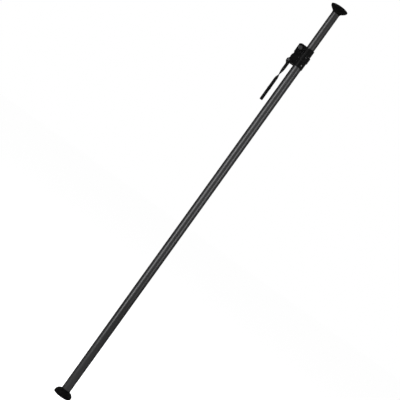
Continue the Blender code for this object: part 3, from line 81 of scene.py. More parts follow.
class Body(Enum):
    """The moving bodies of the pole."""

    LOWER_COLUMN = "lower_column"
    LEVER = "lever"
    PLUNGER = "plunger"
    LIFT_CARRIER = "lift_carrier"
    JAW = "jaw"
    RELEASE = "release"
    UPPER_COLUMN = "upper_column"


class Drive(Enum):
    """The recess in the middle of a fastener's head."""

    HEXAGON = "hexagon"
    SIX_LOBE = "six lobe"
    DIMPLE = "dimple"

    def reach(self, radius: float, angle: float) -> float:
        """Return how far the recess reaches from its middle in a direction.

        Args:
            radius: Half the size across the recess.
            angle: Direction in radians.

        Returns:
            The distance from the middle to the recess's edge.
        """
        if self is Drive.HEXAGON:
            sixth = math.pi / 3
            return radius / math.cos(angle % sixth - sixth / 2)
        if self is Drive.SIX_LOBE:
            return radius * (1 + 0.2 * math.cos(6 * angle))
        return radius


class Tree:
    """A node tree that is filled in by short calls."""

    def __init__(self, tree: bpy.types.NodeTree) -> None:
        """Start with a tree, which is emptied."""
        self.tree = tree
        self.tree.nodes.clear()

    def node(self, kind: str, inputs: dict[str | int, object] | None = None,
             **settings: object) -> bpy.types.Node:
        """Add a node, with its inputs set to values or linked to sockets.

        Args:
            kind: Type of the node.
            inputs: Value or socket for each input, by name or number.
            settings: Attributes of the node itself.

        Returns:
            The new node.
        """
        made = self.tree.nodes.new(kind)
        for key, value in settings.items():
            setattr(made, key, value)
        for key, value in (inputs or {}).items():
            self.plug(made.inputs[key], value)
        return made

    def plug(self, socket: bpy.types.NodeSocket, value: object) -> None:
        """Link a socket to another one, or set it to a value.

        Args:
            socket: The input to fill.
            value: A socket, number, word, vector or colour.
        """
        if isinstance(value, bpy.types.NodeSocket):
            self.tree.links.new(value, socket)
        elif socket.type == "RGBA" and len(value) == 3:
            socket.default_value = (*value, 1.0)
        else:
            socket.default_value = value


class Sheet(Tree):
    """The node tree of one material, which a finish fills in."""

    def __init__(self, name: str) -> None:
        """Start the tree with a Principled shader.

        Args:
            name: Name of the material.
        """
        self.material = bpy.data.materials.new(name)
        self.material.use_nodes = True
        super().__init__(self.material.node_tree)
        self.shader = self.node("ShaderNodeBsdfPrincipled")
        self.node("ShaderNodeOutputMaterial", {"Surface": self.shader.outputs["BSDF"]})
        self.place = self.node("ShaderNodeTexCoord").outputs["Object"]

    def shade(self, **inputs: object) -> None:
        """Fill inputs of the shader with values or sockets, named with underscores for spaces."""
        for key, value in inputs.items():
            self.plug(self.shader.inputs[key.replace("_", " ")], value)

    def grain(self, scale: Point, detail: float = 3.0, rough: float = 0.55) -> bpy.types.NodeSocket:
        """Return noise on the object's own coordinates.

        Args:
            scale: Repeats for each metre along x, y and z.
            detail: Octaves of the noise.
            rough: Strength of the finer octaves.

        Returns:
            The socket of the noise, about 0.3 to 0.7.
        """
        mapped = self.node("ShaderNodeMapping", {"Vector": self.place, "Scale": scale}).outputs[0]
        return self.node("ShaderNodeTexNoise", {"Vector": mapped, "Scale": 1.0, "Detail": detail,
                                                "Roughness": rough}).outputs["Fac"]

    def cells(self, scale: float, edge: bool = False) -> bpy.types.NodeSocket:
        """Return the distance field of a cell pattern.

        Args:
            scale: Cells for each metre.
            edge: Whether the distance is to the cells' edges.

        Returns:
            The socket of the distance.
        """
        feature = "DISTANCE_TO_EDGE" if edge else "F1"
        return self.node("ShaderNodeTexVoronoi", {"Vector": self.place, "Scale": scale},
                         feature=feature).outputs["Distance"]

    def spread(self, source: bpy.types.NodeSocket, low: float, high: float,
               start: float = 0.3, end: float = 0.7) -> bpy.types.NodeSocket:
        """Map a pattern from its range, start to end, to the range from low to high."""
        return self.node("ShaderNodeMapRange", {"Value": source, "From Min": start, "From Max": end,
                                                "To Min": low, "To Max": high}).outputs["Result"]

    def blend(self, share: bpy.types.NodeSocket, low: object, high: object) -> bpy.types.NodeSocket:
        """Mix two colours, with a share of the second one."""
        mixed = self.node("ShaderNodeMix", {0: share, 6: low, 7: high}, data_type="RGBA")
        return mixed.outputs[2]

    def product(self, first: object, second: object) -> bpy.types.NodeSocket:
        """Multiply two patterns, each a socket or a number."""
        return self.node("ShaderNodeMath", {0: first, 1: second}, operation="MULTIPLY").outputs[0]

    def bump(self, height: bpy.types.NodeSocket, strength: float, depth: float,
             under: bpy.types.NodeSocket | None = None) -> bpy.types.NodeSocket:
        """Raise a pattern on the surface.

        Args:
            height: The pattern.
            strength: Share of the depth that shows.
            depth: Height of the pattern.
            under: Normal to start from.

        Returns:
            The bumped normal.
        """
        inputs: dict[str | int, object] = {"Height": height, "Strength": strength, "Distance": depth}
        if under is not None:
            inputs["Normal"] = under
        return self.node("ShaderNodeBump", inputs).outputs["Normal"]

    def worn_edges(self, radius: float, start: float, end: float) -> bpy.types.NodeSocket:
        """Return a mask of the outer edges, broken up by noise.

        Args:
            radius: How far from an edge the wear reaches.
            start: Bend of the surface at which wear starts.
            end: Bend at which it is full.

        Returns:
            The mask, 0 to 1.
        """
        rounded = self.node("ShaderNodeBevel", {"Radius": radius}, samples=4).outputs["Normal"]
        normal = self.node("ShaderNodeNewGeometry").outputs["Normal"]
        dot = self.node("ShaderNodeVectorMath", {0: rounded, 1: normal}, operation="DOT_PRODUCT")
        edge = self.spread(dot.outputs["Value"], 0.0, 1.0, 1.0 - start, 1.0 - end)
        broken = self.spread(self.grain((90.0, 90.0, 90.0), 6.0, 0.65), 0.0, 1.0, 0.42, 0.6)
        return self.product(edge, broken)


@dataclass(frozen=True)
class Finish:
    """A surface finish of the pole.

    Attributes:
        name: Name of the material.
        slot: The record's material slot, which is not used.
        colour: Main colour, linear.
        roughness: Middle roughness.
    """

    name: str
    slot: str
    colour: Colour
    roughness: float

    def material(self) -> bpy.types.Material:
        """Return the finish's material, which is made once.

        Returns:
            The material.
        """
        made = bpy.data.materials.get(self.name)
        if made is None:
            sheet = Sheet(self.name)
            self.paint(sheet)
            made = sheet.material
        return made

    def tone(self, factor: float) -> Colour:
        """Return the colour, darker or lighter by a factor."""
        return (self.colour[0] * factor, self.colour[1] * factor, self.colour[2] * factor)

    def mottled(self, sheet: Sheet, pattern: bpy.types.NodeSocket, dark: float, light: float,
                start: float = 0.3, end: float = 0.7) -> bpy.types.NodeSocket:
        """Return the colour, varied by a pattern between a darker and a lighter factor."""
        return sheet.blend(sheet.spread(pattern, 0.0, 1.0, start, end), self.tone(dark), self.tone(light))

    def paint(self, sheet: Sheet) -> None:
        """Fill in the material's nodes, which each kind of finish does in its own way."""
        raise NotImplementedError


@dataclass(frozen=True)
class DrawnAnodised(Finish):
    """Drawn aluminium tube, anodised dark grey, with fine lines along its length.

    Attributes:
        metal: How metallic it is.
        edge_tint: Tint of its glancing reflections.
    """

    metal: float = 0.92
    edge_tint: Colour = (0.3, 0.3, 0.3)

    def paint(self, sheet: Sheet) -> None:
        """Fill in the material's nodes.

        Args:
            sheet: The material's node tree.
        """
        lines = sheet.grain((1400.0, 1400.0, 9.0), 2.0)
        clouds = sheet.grain((14.0, 14.0, 3.0), 4.0)
        scuffs = sheet.spread(sheet.grain((90.0, 90.0, 14.0), 6.0, 0.7), 0.0, 1.0, 0.63, 0.72)
        cloudy = self.mottled(sheet, clouds, 0.88, 1.12)
        streaks = sheet.product(sheet.spread(lines, 0.0, 1.0), 0.8)
        lined = sheet.blend(streaks, cloudy, self.tone(1.35))
        rubbed = sheet.blend(sheet.product(scuffs, 0.3), lined, self.tone(2.2))
        rough = sheet.spread(clouds, self.roughness - 0.04, self.roughness + 0.05)
        sheet.shade(Base_Color=rubbed, Metallic=self.metal, Roughness=rough, Specular_Tint=self.edge_tint,
                    Normal=sheet.bump(lines, 0.2, 0.0001))


@dataclass(frozen=True)
class MouldedRubber(Finish):
    """Black moulded rubber with a fine skin and some floor dust.

    Attributes:
        dust: Strength of the dust.
    """

    dust: float = 0.03

    def paint(self, sheet: Sheet) -> None:
        """Fill in the material's nodes.

        Args:
            sheet: The material's node tree.
        """
        skin = sheet.grain((2200.0, 2200.0, 2200.0), 3.0, 0.7)
        patches = sheet.grain((110.0, 110.0, 150.0), 6.0, 0.7)
        body = self.mottled(sheet, patches, 0.85, 1.25)
        dusty = sheet.product(sheet.spread(patches, 0.0, 1.0, 0.5, 0.7), self.dust)
        sheet.shade(Base_Color=sheet.blend(dusty, body, DUST),
                    Roughness=sheet.spread(patches, self.roughness - 0.06, self.roughness + 0.08),
                    Specular_IOR_Level=0.012, Normal=sheet.bump(skin, 0.35, 0.0002))


@dataclass(frozen=True)
class PowderCoat(Finish):
    """Black powder coat on cast metal: orange peel, and bare metal where edges are rubbed.

    Attributes:
        peel: Strength of the orange peel.
        wear: Strength of the rubbed edges.
    """

    peel: float = 0.5
    wear: float = 0.55

    def paint(self, sheet: Sheet) -> None:
        """Fill in the material's nodes.

        Args:
            sheet: The material's node tree.
        """
        skin = sheet.cells(1500.0)
        cast = sheet.grain((210.0, 210.0, 210.0), 4.0)
        patches = sheet.grain((60.0, 60.0, 60.0), 4.0)
        worn = sheet.product(sheet.worn_edges(0.0007, 0.01, 0.08), self.wear)
        body = self.mottled(sheet, patches, 0.8, 1.3)
        rough = sheet.spread(patches, self.roughness - 0.06, self.roughness + 0.07)
        smoothed = sheet.node("ShaderNodeMix", {0: worn, 2: rough, 3: 0.34}).outputs[0]
        lumps = sheet.bump(cast, 0.14, 0.0005)
        sheet.shade(Base_Color=sheet.blend(worn, body, BARE_METAL),
                    Metallic=sheet.product(worn, 0.9), Roughness=smoothed, Specular_IOR_Level=0.026,
                    Normal=sheet.bump(skin, self.peel, 0.00018, lumps))


@dataclass(frozen=True)
class GrainedPlastic(Finish):
    """Moulded plastic with an etched grain and a gloss that varies in patches.

    Attributes:
        gloss: Specular level.
    """

    gloss: float = 0.026

    def paint(self, sheet: Sheet) -> None:
        """Fill in the material's nodes.

        Args:
            sheet: The material's node tree.
        """
        grain = sheet.cells(1900.0, edge=True)
        patches = sheet.grain((70.0, 70.0, 40.0), 4.0)
        sheet.shade(Base_Color=self.mottled(sheet, patches, 0.85, 1.2),
                    Roughness=sheet.spread(patches, self.roughness - 0.08, self.roughness + 0.08),
                    Specular_IOR_Level=self.gloss, Normal=sheet.bump(grain, 0.3, 0.00025))


@dataclass(frozen=True)
class NaturalNylon(Finish):
    """Off-white nylon with a soft, slightly yellowed body."""

    def paint(self, sheet: Sheet) -> None:
        """Fill in the material's nodes.

        Args:
            sheet: The material's node tree.
        """
        patches = sheet.grain((120.0, 120.0, 120.0), 3.0)
        sheet.shade(Base_Color=self.mottled(sheet, patches, 0.9, 1.08),
                    Roughness=sheet.spread(patches, self.roughness - 0.05, self.roughness + 0.05),
                    Subsurface_Weight=0.15, Subsurface_Scale=0.002,
                    Normal=sheet.bump(patches, 0.1, 0.0002))


@dataclass(frozen=True)
class Steel(Finish):
    """Plated or blackened steel with a mottled plating and fine turning marks.

    Attributes:
        mottle: How far its colour varies.
    """

    mottle: float = 0.25

    def paint(self, sheet: Sheet) -> None:
        """Fill in the material's nodes.

        Args:
            sheet: The material's node tree.
        """
        crystals = sheet.cells(700.0)
        patches = sheet.grain((300.0, 300.0, 300.0), 4.0)
        marks = sheet.grain((90.0, 90.0, 5200.0), 1.0)
        plating = self.mottled(sheet, crystals, 1.0 - self.mottle, 1.0 + self.mottle, 0.1, 0.8)
        sheet.shade(Base_Color=plating,
                    Roughness=sheet.spread(patches, self.roughness - 0.08, self.roughness + 0.1),
                    Metallic=1.0, Normal=sheet.bump(marks, 0.08, 0.0001))


@dataclass(frozen=True)
class FrictionLining(Finish):
    """Brown fibre lining of the jaw."""

    def paint(self, sheet: Sheet) -> None:
        """Fill in the material's nodes.

        Args:
            sheet: The material's node tree.
        """
        fibres = sheet.grain((700.0, 700.0, 2600.0), 4.0, 0.7)
        sheet.shade(Base_Color=self.mottled(sheet, fibres, 0.6, 1.5),
                    Roughness=sheet.spread(fibres, 0.8, 0.95), Normal=sheet.bump(fibres, 0.4, 0.0002))


ANODISED = DrawnAnodised("dark_anodised", "anodised_aluminium", (0.025, 0.025, 0.0255), 0.35)
RUBBER = MouldedRubber("cup_rubber", "black_rubber", (0.0012, 0.0012, 0.0012), 0.6)
COAT = PowderCoat("black_powder_coat", "black_casting", (0.0015, 0.0015, 0.00155), 0.33)
PLASTIC = GrainedPlastic("black_plastic_grain", "black_plastic", (0.0015, 0.0015, 0.00155), 0.4)
# The knob's plastic is the black plastic made lighter, a painted highlight in its colour, with a glossier
# surface.
KNOB_PLASTIC_PAINTED_HIGHLIGHT = GrainedPlastic("knob_plastic_painted_highlight", "black_plastic", (0.009, 0.009, 0.0093), 0.36, 0.16)
NYLON = NaturalNylon("natural_nylon", "nylon", (0.55, 0.54, 0.5), 0.45)
ZINC = Steel("zinc_plate", "zinc_steel", (0.5, 0.5, 0.52), 0.3)
DARK_ZINC = Steel("black_zinc_plate", "zinc_steel", (0.05, 0.05, 0.052), 0.38, 0.15)
BLACKED = Steel("black_oxide", "blackened_steel", (0.045, 0.045, 0.046), 0.38, 0.15)
LINING = FrictionLining("jaw_lining", "jaw_lining", (0.16, 0.1, 0.065), 0.85)


def in_scene(name: str, data: bpy.types.ID) -> bpy.types.Object:
    """Put an object in the scene.

    Args:
        name: Its name.
        data: Its mesh, lamp or camera.

    Returns:
        The object.
    """
    made = bpy.data.objects.new(name, data)
    bpy.context.scene.collection.objects.link(made)
    return made


def cover(rings: Sequence[Sequence[Point]], closed: bool = False) -> bpy.types.Mesh:
    """Cover rings of points of equal count with faces.

    Args:
        rings: Rings of points, in order along the surface.
        closed: Whether the last ring joins the first. If not, both ends are capped.

    Returns:
        A closed mesh whose faces point outwards.
    """
    work = bmesh.new()
    loops = [[work.verts.new(point) for point in ring] for ring in rings]
    pairs = list(zip(loops, loops[1:]))
    if closed:
        pairs.append((loops[-1], loops[0]))
    else:
        work.faces.new(loops[0])
        work.faces.new(loops[-1][::-1])
    for upper, lower in pairs:
        for i, corner in enumerate(upper):
            j = (i + 1) % len(upper)
            work.faces.new((corner, lower[i], lower[j], upper[j]))
    bmesh.ops.remove_doubles(work, verts=work.verts, dist=WELD)
    bmesh.ops.recalc_face_normals(work, faces=work.faces)
    return to_mesh(work)


def to_mesh(work: bmesh.types.BMesh) -> bpy.types.Mesh:
    """Turn working geometry into a smooth mesh with sharp corners.

    Args:
        work: The geometry, which is freed.

    Returns:
        The mesh.
    """
    mesh = bpy.data.meshes.new("shape")
    work.to_mesh(mesh)
    work.free()
    mesh.shade_smooth()
    mesh.set_sharp_from_angle(angle=math.radians(SHARP_DEGREES))
    return mesh


def lathe(profile: Profile, steps: int, place: Matrix | None = None,
          closed: bool = False) -> bpy.types.Mesh:
    """Turn a profile of (radius, height) points about Z.

    Args:
        profile: Points down the outer side. An open profile is capped at its two ends.
        steps: Points round the axis.
        place: Where the turned shape goes.
        closed: Whether the profile closes on itself, as for a ring.

    Returns:
        The turned mesh.
    """
    turns = [2 * math.pi * i / steps for i in range(steps)]
    rings = [[(radius * math.cos(a), radius * math.sin(a), height) for a in turns]
             for radius, height in profile]
    mesh = cover(rings, closed)
    if place is not None:
        mesh.transform(place)
    return mesh


def solid(node: str) -> bpy.types.Mesh:
    """Return a merged copy of a CAD node's mesh, with its flat faces joined.

    Args:
        node: Name of the node.

    Returns:
        The copy.
    """
    work = bmesh.new()
    work.from_mesh(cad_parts[node].data)
    bmesh.ops.remove_doubles(work, verts=work.verts, dist=MERGE)
    bmesh.ops.dissolve_limit(work, angle_limit=math.radians(FLAT_DEGREES), verts=work.verts,
                             edges=work.edges)
    return to_mesh(work)


def applied(mesh: bpy.types.Mesh, set_up: Callable[[bpy.types.Object], None]) -> bpy.types.Mesh:
    """Run modifiers on a mesh and return the plain result.

    Args:
        mesh: The mesh to start from.
        set_up: Adds the modifiers to the object that it is given.

    Returns:
        The new mesh.
    """
    thing = in_scene("on_the_bench", mesh)
    set_up(thing)
    bpy.context.view_layer.update()
    graph = bpy.context.evaluated_depsgraph_get()
    made = bpy.data.meshes.new_from_object(thing.evaluated_get(graph))
    bpy.data.objects.remove(thing, do_unlink=True)
    return made


def softened(mesh: bpy.types.Mesh, width: float) -> bpy.types.Mesh:
    """Round the sharp edges of a mesh.

    Args:
        mesh: The mesh.
        width: Width of the rounding.

    Returns:
        The rounded mesh.
    """
    def set_up(thing: bpy.types.Object) -> None:
        """Add the rounding to an object.

        Args:
            thing: The object.
        """
        bevel = thing.modifiers.new("rounding", "BEVEL")
        bevel.width = width
        bevel.segments = ROUNDING_FACES
        bevel.limit_method = "ANGLE"
        bevel.angle_limit = math.radians(ROUNDED_DEGREES)
        bevel.face_strength_mode = "FSTR_AFFECTED"
        weighted = thing.modifiers.new("flat_faces", "WEIGHTED_NORMAL")
        weighted.keep_sharp = True
        weighted.use_face_influence = True

    return applied(mesh, set_up)


def outward(direction: Point, point: Point) -> Matrix:
    """Return the placement at a point that turns +Z into a direction."""
    turn = Vector(direction).to_track_quat("Z", "Y").to_matrix().to_4x4()
    return Matrix.Translation(point) @ turn


def centre_of(node: str) -> Vector:
    """Return the middle of a CAD node's box."""
    low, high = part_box(node)
    return (low + high) / 2


def crosswise(node: str) -> Matrix:
    """Return the placement at y = 0 on a CAD node's cross axis that turns +Z to -Y."""
    middle = centre_of(node)
    return outward((0, -1, 0), (middle.x, 0, middle.z))


def around(base: Matrix, count: int) -> list[Matrix]:
    """Return a count of equal turns about a placement's own Z."""
    return [base @ Matrix.Rotation(2 * math.pi * i / count, 4, "Z") for i in range(count)]


@cache
def pattern_tree() -> bpy.types.NodeTree:
    """Build the Geometry Nodes tree of all patterns, at its first use.

    Returns:
        A tree that puts an item on each point, turned to the point's own direction.
    """
    made = bpy.data.node_groups.new("items_at_points", "GeometryNodeTree")
    for name, kind in (("Points", "Geometry"), ("Item", "Object"), ("Finish", "Material")):
        made.interface.new_socket(name, in_out="INPUT", socket_type="NodeSocket" + kind)
    made.interface.new_socket("Pieces", in_out="OUTPUT", socket_type="NodeSocketGeometry")
    tree = Tree(made)
    entry = tree.node("NodeGroupInput").outputs
    axes: dict[str | int, object] = {}
    for attribute, axis in (("facing", "Primary Axis"), ("side", "Secondary Axis")):
        named = tree.node("GeometryNodeInputNamedAttribute", {"Name": attribute}, data_type="FLOAT_VECTOR")
        axes[axis] = named.outputs["Attribute"]
    turn = tree.node("FunctionNodeAxesToRotation", axes, primary_axis="Z", secondary_axis="X")
    item = tree.node("GeometryNodeObjectInfo", {"Object": entry["Item"]})
    spread = tree.node("GeometryNodeInstanceOnPoints", {
        "Points": entry["Points"], "Instance": item.outputs["Geometry"],
        "Rotation": turn.outputs["Rotation"]})
    real = tree.node("GeometryNodeRealizeInstances", {"Geometry": spread.outputs["Instances"]})
    paint = tree.node("GeometryNodeSetMaterial", {
        "Geometry": real.outputs["Geometry"], "Material": entry["Finish"]})
    tree.node("NodeGroupOutput", {"Pieces": paint.outputs["Geometry"]})
    return made


def repeated(item: bpy.types.Mesh, places: Sequence[Matrix], finish: Finish) -> bpy.types.Mesh:
    """Repeat an item at placements.

    Args:
        item: The mesh to repeat, along its own +Z.
        places: Unscaled placements.
        finish: Finish of the result.

    Returns:
        One mesh of all the items.
    """
    points = bpy.data.meshes.new("points")
    points.from_pydata([place.translation for place in places], [], [])
    for name, column in (("facing", 2), ("side", 0)):
        rows = points.attributes.new(name, "FLOAT_VECTOR", "POINT")
        for entry, place in zip(rows.data, places):
            entry.vector = place.to_3x3().col[column]
    source = in_scene("item", item)

    def set_up(thing: bpy.types.Object) -> None:
        """Add the pattern to an object.

        Args:
            thing: The object, a mesh of points.
        """
        modifier = thing.modifiers.new("pattern", "NODES")
        modifier.node_group = pattern_tree()
        values = {"Item": source, "Finish": finish.material()}
        for socket in modifier.node_group.interface.items_tree:
            if socket.name in values:
                modifier[socket.identifier] = values[socket.name]

    made = applied(points, set_up)
    bpy.data.objects.remove(source, do_unlink=True)
    made.set_sharp_from_angle(angle=math.radians(SHARP_DEGREES))
    return made


@dataclass
class Assembly:
    """A sub-assembly that rides on one body.

    Attributes:
        body: The body.
        made: The pieces made so far.
    """

    body: Body
    made: list[bpy.types.Object] = field(default_factory=list, init=False)

    def put(self, name: str, mesh: bpy.types.Mesh, finish: Finish, *nodes: str) -> bpy.types.Object:
        """Put a mesh in the scene as a finished piece.

        Args:
            name: Name of the piece.
            mesh: Its mesh, in place.
            finish: Its finish.
            nodes: CAD nodes that it stands for.

        Returns:
            The piece.
        """
        mesh.name = name
        mesh.materials.clear()
        mesh.materials.append(finish.material())
        piece = in_scene(name, mesh)
        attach(piece, self.body.value)
        if nodes:
            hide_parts(*nodes)
        self.made.append(piece)
        LOG.info("%s: %s, %d faces", self.body.value, name, len(mesh.polygons))
        return piece

    def row(self, name: str, item: bpy.types.Mesh, places: Sequence[Matrix], finish: Finish,
            *nodes: str) -> None:
        """Put an item at placements, as one finished piece that stands for CAD nodes."""
        self.put(name, repeated(item, places, finish), finish, *nodes)

    def keep(self, finish: Finish, *nodes: str) -> None:
        """Give CAD nodes that stay in the scene a finish.

        Args:
            finish: The finish.
            nodes: Names of the nodes.
        """
        for node in nodes:
            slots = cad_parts[node].data.materials
            slots.clear()
            slots.append(finish.material())
            LOG.info("%s: %s kept", self.body.value, node)

    def soften(self, width: float, finish: Finish, *names: str) -> None:
        """Put copies of CAD nodes in their places, with edges rounded to a width."""
        for name in names:
            self.put(name + "_rounded", softened(solid(name), width), finish, name)

    def wound(self, name: str, finish: Finish, joint: str, axis: Point, anchor: Point, keep: float) -> None:
        """Put a copy of a coil spring in its place, with a mesh of its own."""
        piece = self.put(name + "_wound", solid(name), finish, name)
        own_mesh(piece)


@dataclass(frozen=True)
class Fastener:
    """A screw or rivet that stands along +Z, with the underside of its head at the origin.

    Attributes:
        head_radius: Radius of the head.
        head_height: Height of the head.
        shank_radius: Radius of the shank.
        length: Length of the shank.
        drive: The recess in the head.
        recess: Half the size across the recess.
        sunk: Whether the head tapers into its seat.
        steps: Points round it.
    """

    head_radius: float
    head_height: float
    shank_radius: float
    length: float
    drive: Drive = Drive.HEXAGON
    recess: float = 0.001
    sunk: bool = False
    steps: int = 24

    def mesh(self) -> bpy.types.Mesh:
        """Make the fastener.

        Returns:
            Its mesh, with the head up.
        """
        turns = [2 * math.pi * i / self.steps for i in range(self.steps)]
        top = self.head_height
        floor = top - 0.6 * max(self.head_height, self.recess)
        deep = [self.drive.reach(self.recess, a) for a in turns]
        rings = [[(r * math.cos(a), r * math.sin(a), z) for r, a in zip(deep, turns)] for z in (floor, top)]
        reach = self.head_radius
        if self.sunk:
            sides = [(reach, top), (reach, 0.85 * top), (self.shank_radius, 0.0)]
        else:
            sides = [(0.72 * reach, top), (0.9 * reach, 0.82 * top), (reach, 0.45 * top), (reach, 0.0),
                     (self.shank_radius, 0.0)]
        sides.append((self.shank_radius, -self.length))
        rings += [[(radius * math.cos(a), radius * math.sin(a), z) for a in turns] for radius, z in sides]
        return cover(rings)

    def along(self, nodes: Sequence[str], seat: float) -> list[Matrix]:
        """Return placements on the nodes' own lines, outwards from the pole's axis.

        Args:
            nodes: CAD fasteners that stand round the axis.
            seat: Distance of the head's underside from the axis.

        Returns:
            A placement for each node.
        """
        places = []
        for node in nodes:
            middle = centre_of(node)
            out = Vector((middle.x, middle.y, 0.0)).normalized()
            places.append(outward(tuple(out), (out.x * seat, out.y * seat, middle.z)))
        return places


def numbered(name: str, count: int) -> list[str]:
    """Return the names of a row of equal CAD nodes, which end in their numbers."""
    return [f"{name}_{i}" for i in range(1, count + 1)]


@dataclass
class EndCup(Assembly):
    """A rubber cup on the end of a tube, with the plug, screw, washer and rivets that hold it.

    Attributes:
        name: Which end it is.
        face: Height of its contact face.
        up: 1 where the cup opens downwards, -1 where it opens upwards.
        height: Height of the cup.
        skirt: Height of its straight rim.
        neck: Radius where it meets the plug.
        taper: How fast the side narrows. A higher value is more conical.
        tube_radius: Radius of its tube.
        rim: Outer radius.
        contact: Width of the ring that touches the floor or ceiling.
        recess: Depth of the recess inside that ring.
        web: How far from the face the plug begins.
        stud: Radius of the plug's stud.
        hole: Radius of the screw's hole.
        rib_count: Ribs in the recess.
        steps: Points up the side.
    """

    name: str
    face: float
    up: int
    height: float
    skirt: float
    neck: float
    taper: float
    tube_radius: float
    rim: float = 0.0445
    contact: float = 0.0105
    recess: float = 0.006
    web: float = 0.014
    stud: float = 0.0123
    hole: float = 0.0045
    rib_count: int = 12
    steps: int = 20

    def off_face(self, profile: Profile) -> list[tuple[float, float]]:
        """Return a profile in the model's heights from one in heights off the contact face."""
        return [(radius, self.face + self.up * height) for radius, height in profile]

    def cup_profile(self) -> list[tuple[float, float]]:
        """Draw the cup's outline with its tread grooves and its lip.

        Returns:
            Radii and heights off the contact face.
        """
        edge, broken, draft = 0.0012, 0.0004, 0.001
        outer = [(self.stud, self.height - 0.0003), (self.neck - edge, self.height),
                 (self.neck, self.height - edge)]
        for i in range(self.steps, -1, -1):
            angle = math.radians(90 * i / self.steps)
            share = 1 - math.cos(angle) ** self.taper
            outer.append((self.rim - (self.rim - self.neck) * share,
                          self.skirt + (self.height - self.skirt - 2 * edge) * math.sin(angle)))
        outer += [(self.rim, edge), (self.rim - 0.0003, broken), (self.rim - draft, 0.0)]
        inner = self.rim - self.contact
        wide, narrow, deep = 0.0006, 0.0004, 0.0009
        tread = []
        for i in range(1, 4):
            middle = self.rim - self.contact * i / 4
            tread += [(middle + wide, 0.0), (middle + narrow, deep), (middle - narrow, deep),
                      (middle - wide, 0.0)]
        inside = [(inner + broken, 0.0), (inner, broken), (inner - draft, self.recess - 0.0006),
                  (inner - 0.0016, self.recess), (self.hole, self.recess), (self.hole, self.web),
                  (self.stud, self.web)]
        return outer + tread + inside

    def rib(self) -> bpy.types.Mesh:
        """Make one stiffening rib of the recess.

        Returns:
            The rib, along +X from the axis.
        """
        near, far, half = 0.0155, 0.0325, 0.0008
        top, foot = 0.0022, self.recess + 0.0004
        rings = [[(x, half * side, z) for x, z in ((near, foot), (near + 0.0015, top), (far - 0.001, top),
                                                   (far, foot))] for side in (1, -1)]
        return cover(rings)

    def build(self) -> None:
        """Make the cup's pieces."""
        cup = lathe(self.off_face(self.cup_profile()), 96, closed=True)
        self.put(f"{self.name}_cup_moulded", cup, RUBBER, f"{self.name}_cup")
        flip = Matrix.Identity(4) if self.up > 0 else Matrix.Rotation(math.pi, 4, "X")
        base = Matrix.Translation((0, 0, self.face)) @ flip
        self.row(f"{self.name}_cup_ribs", self.rib(), around(base, self.rib_count), RUBBER)
        self.soften(0.0003, PLASTIC, f"{self.name}_plug")
        low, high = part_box(f"{self.name}_washer")
        hole, edge, broken = 0.0033, high.x, 0.0002
        washer = [(edge, high.z - broken), (edge, low.z + broken), (edge - broken, low.z), (hole, low.z),
                  (hole, high.z), (edge - broken, high.z)]
        self.put(f"{self.name}_washer_turned", lathe(washer, 64, closed=True), ZINC,
                 f"{self.name}_washer")
        screw = Fastener(0.006, 0.0027, 0.003, 0.030, Drive.HEXAGON, 0.0024)
        off_face = 0.0043
        seat = base @ Matrix.Translation((0, 0, off_face)) @ Matrix.Rotation(math.pi, 4, "X")
        self.row(f"{self.name}_screw_socket", screw.mesh(), [seat], ZINC, f"{self.name}_screw")
        rivet = Fastener(0.0034, 0.0009, 0.0020, 0.0055, Drive.DIMPLE, 0.0009)
        nodes = numbered(f"{self.name}_rivet", 3)
        places = rivet.along(nodes, self.tube_radius + SEAT)
        self.row(f"{self.name}_rivets", rivet.mesh(), places, BLACKED, *nodes)


@dataclass
class Tube(Assembly):
    """A drawn tube of the pole.

    Attributes:
        node: Name of its CAD node.
        radius: Outer radius.
        wall: Wall thickness.
        chamfer: Size of the broken edges.
        steps: Points round it.
    """

    node: str
    radius: float
    wall: float = 0.0015
    chamfer: float = 0.0003
    steps: int = 128

    def build(self) -> None:
        """Make the tube with broken edges at both ends."""
        low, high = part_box(self.node)
        inner, edge = self.radius - self.wall, self.chamfer
        profile = [(self.radius - edge, high.z), (self.radius, high.z - edge), (self.radius, low.z + edge),
                   (self.radius - edge, low.z), (inner + edge, low.z), (inner, low.z + edge),
                   (inner, high.z - edge), (inner + edge, high.z)]
        self.put(f"{self.node}_drawn", lathe(profile, self.steps, closed=True), ANODISED, self.node)


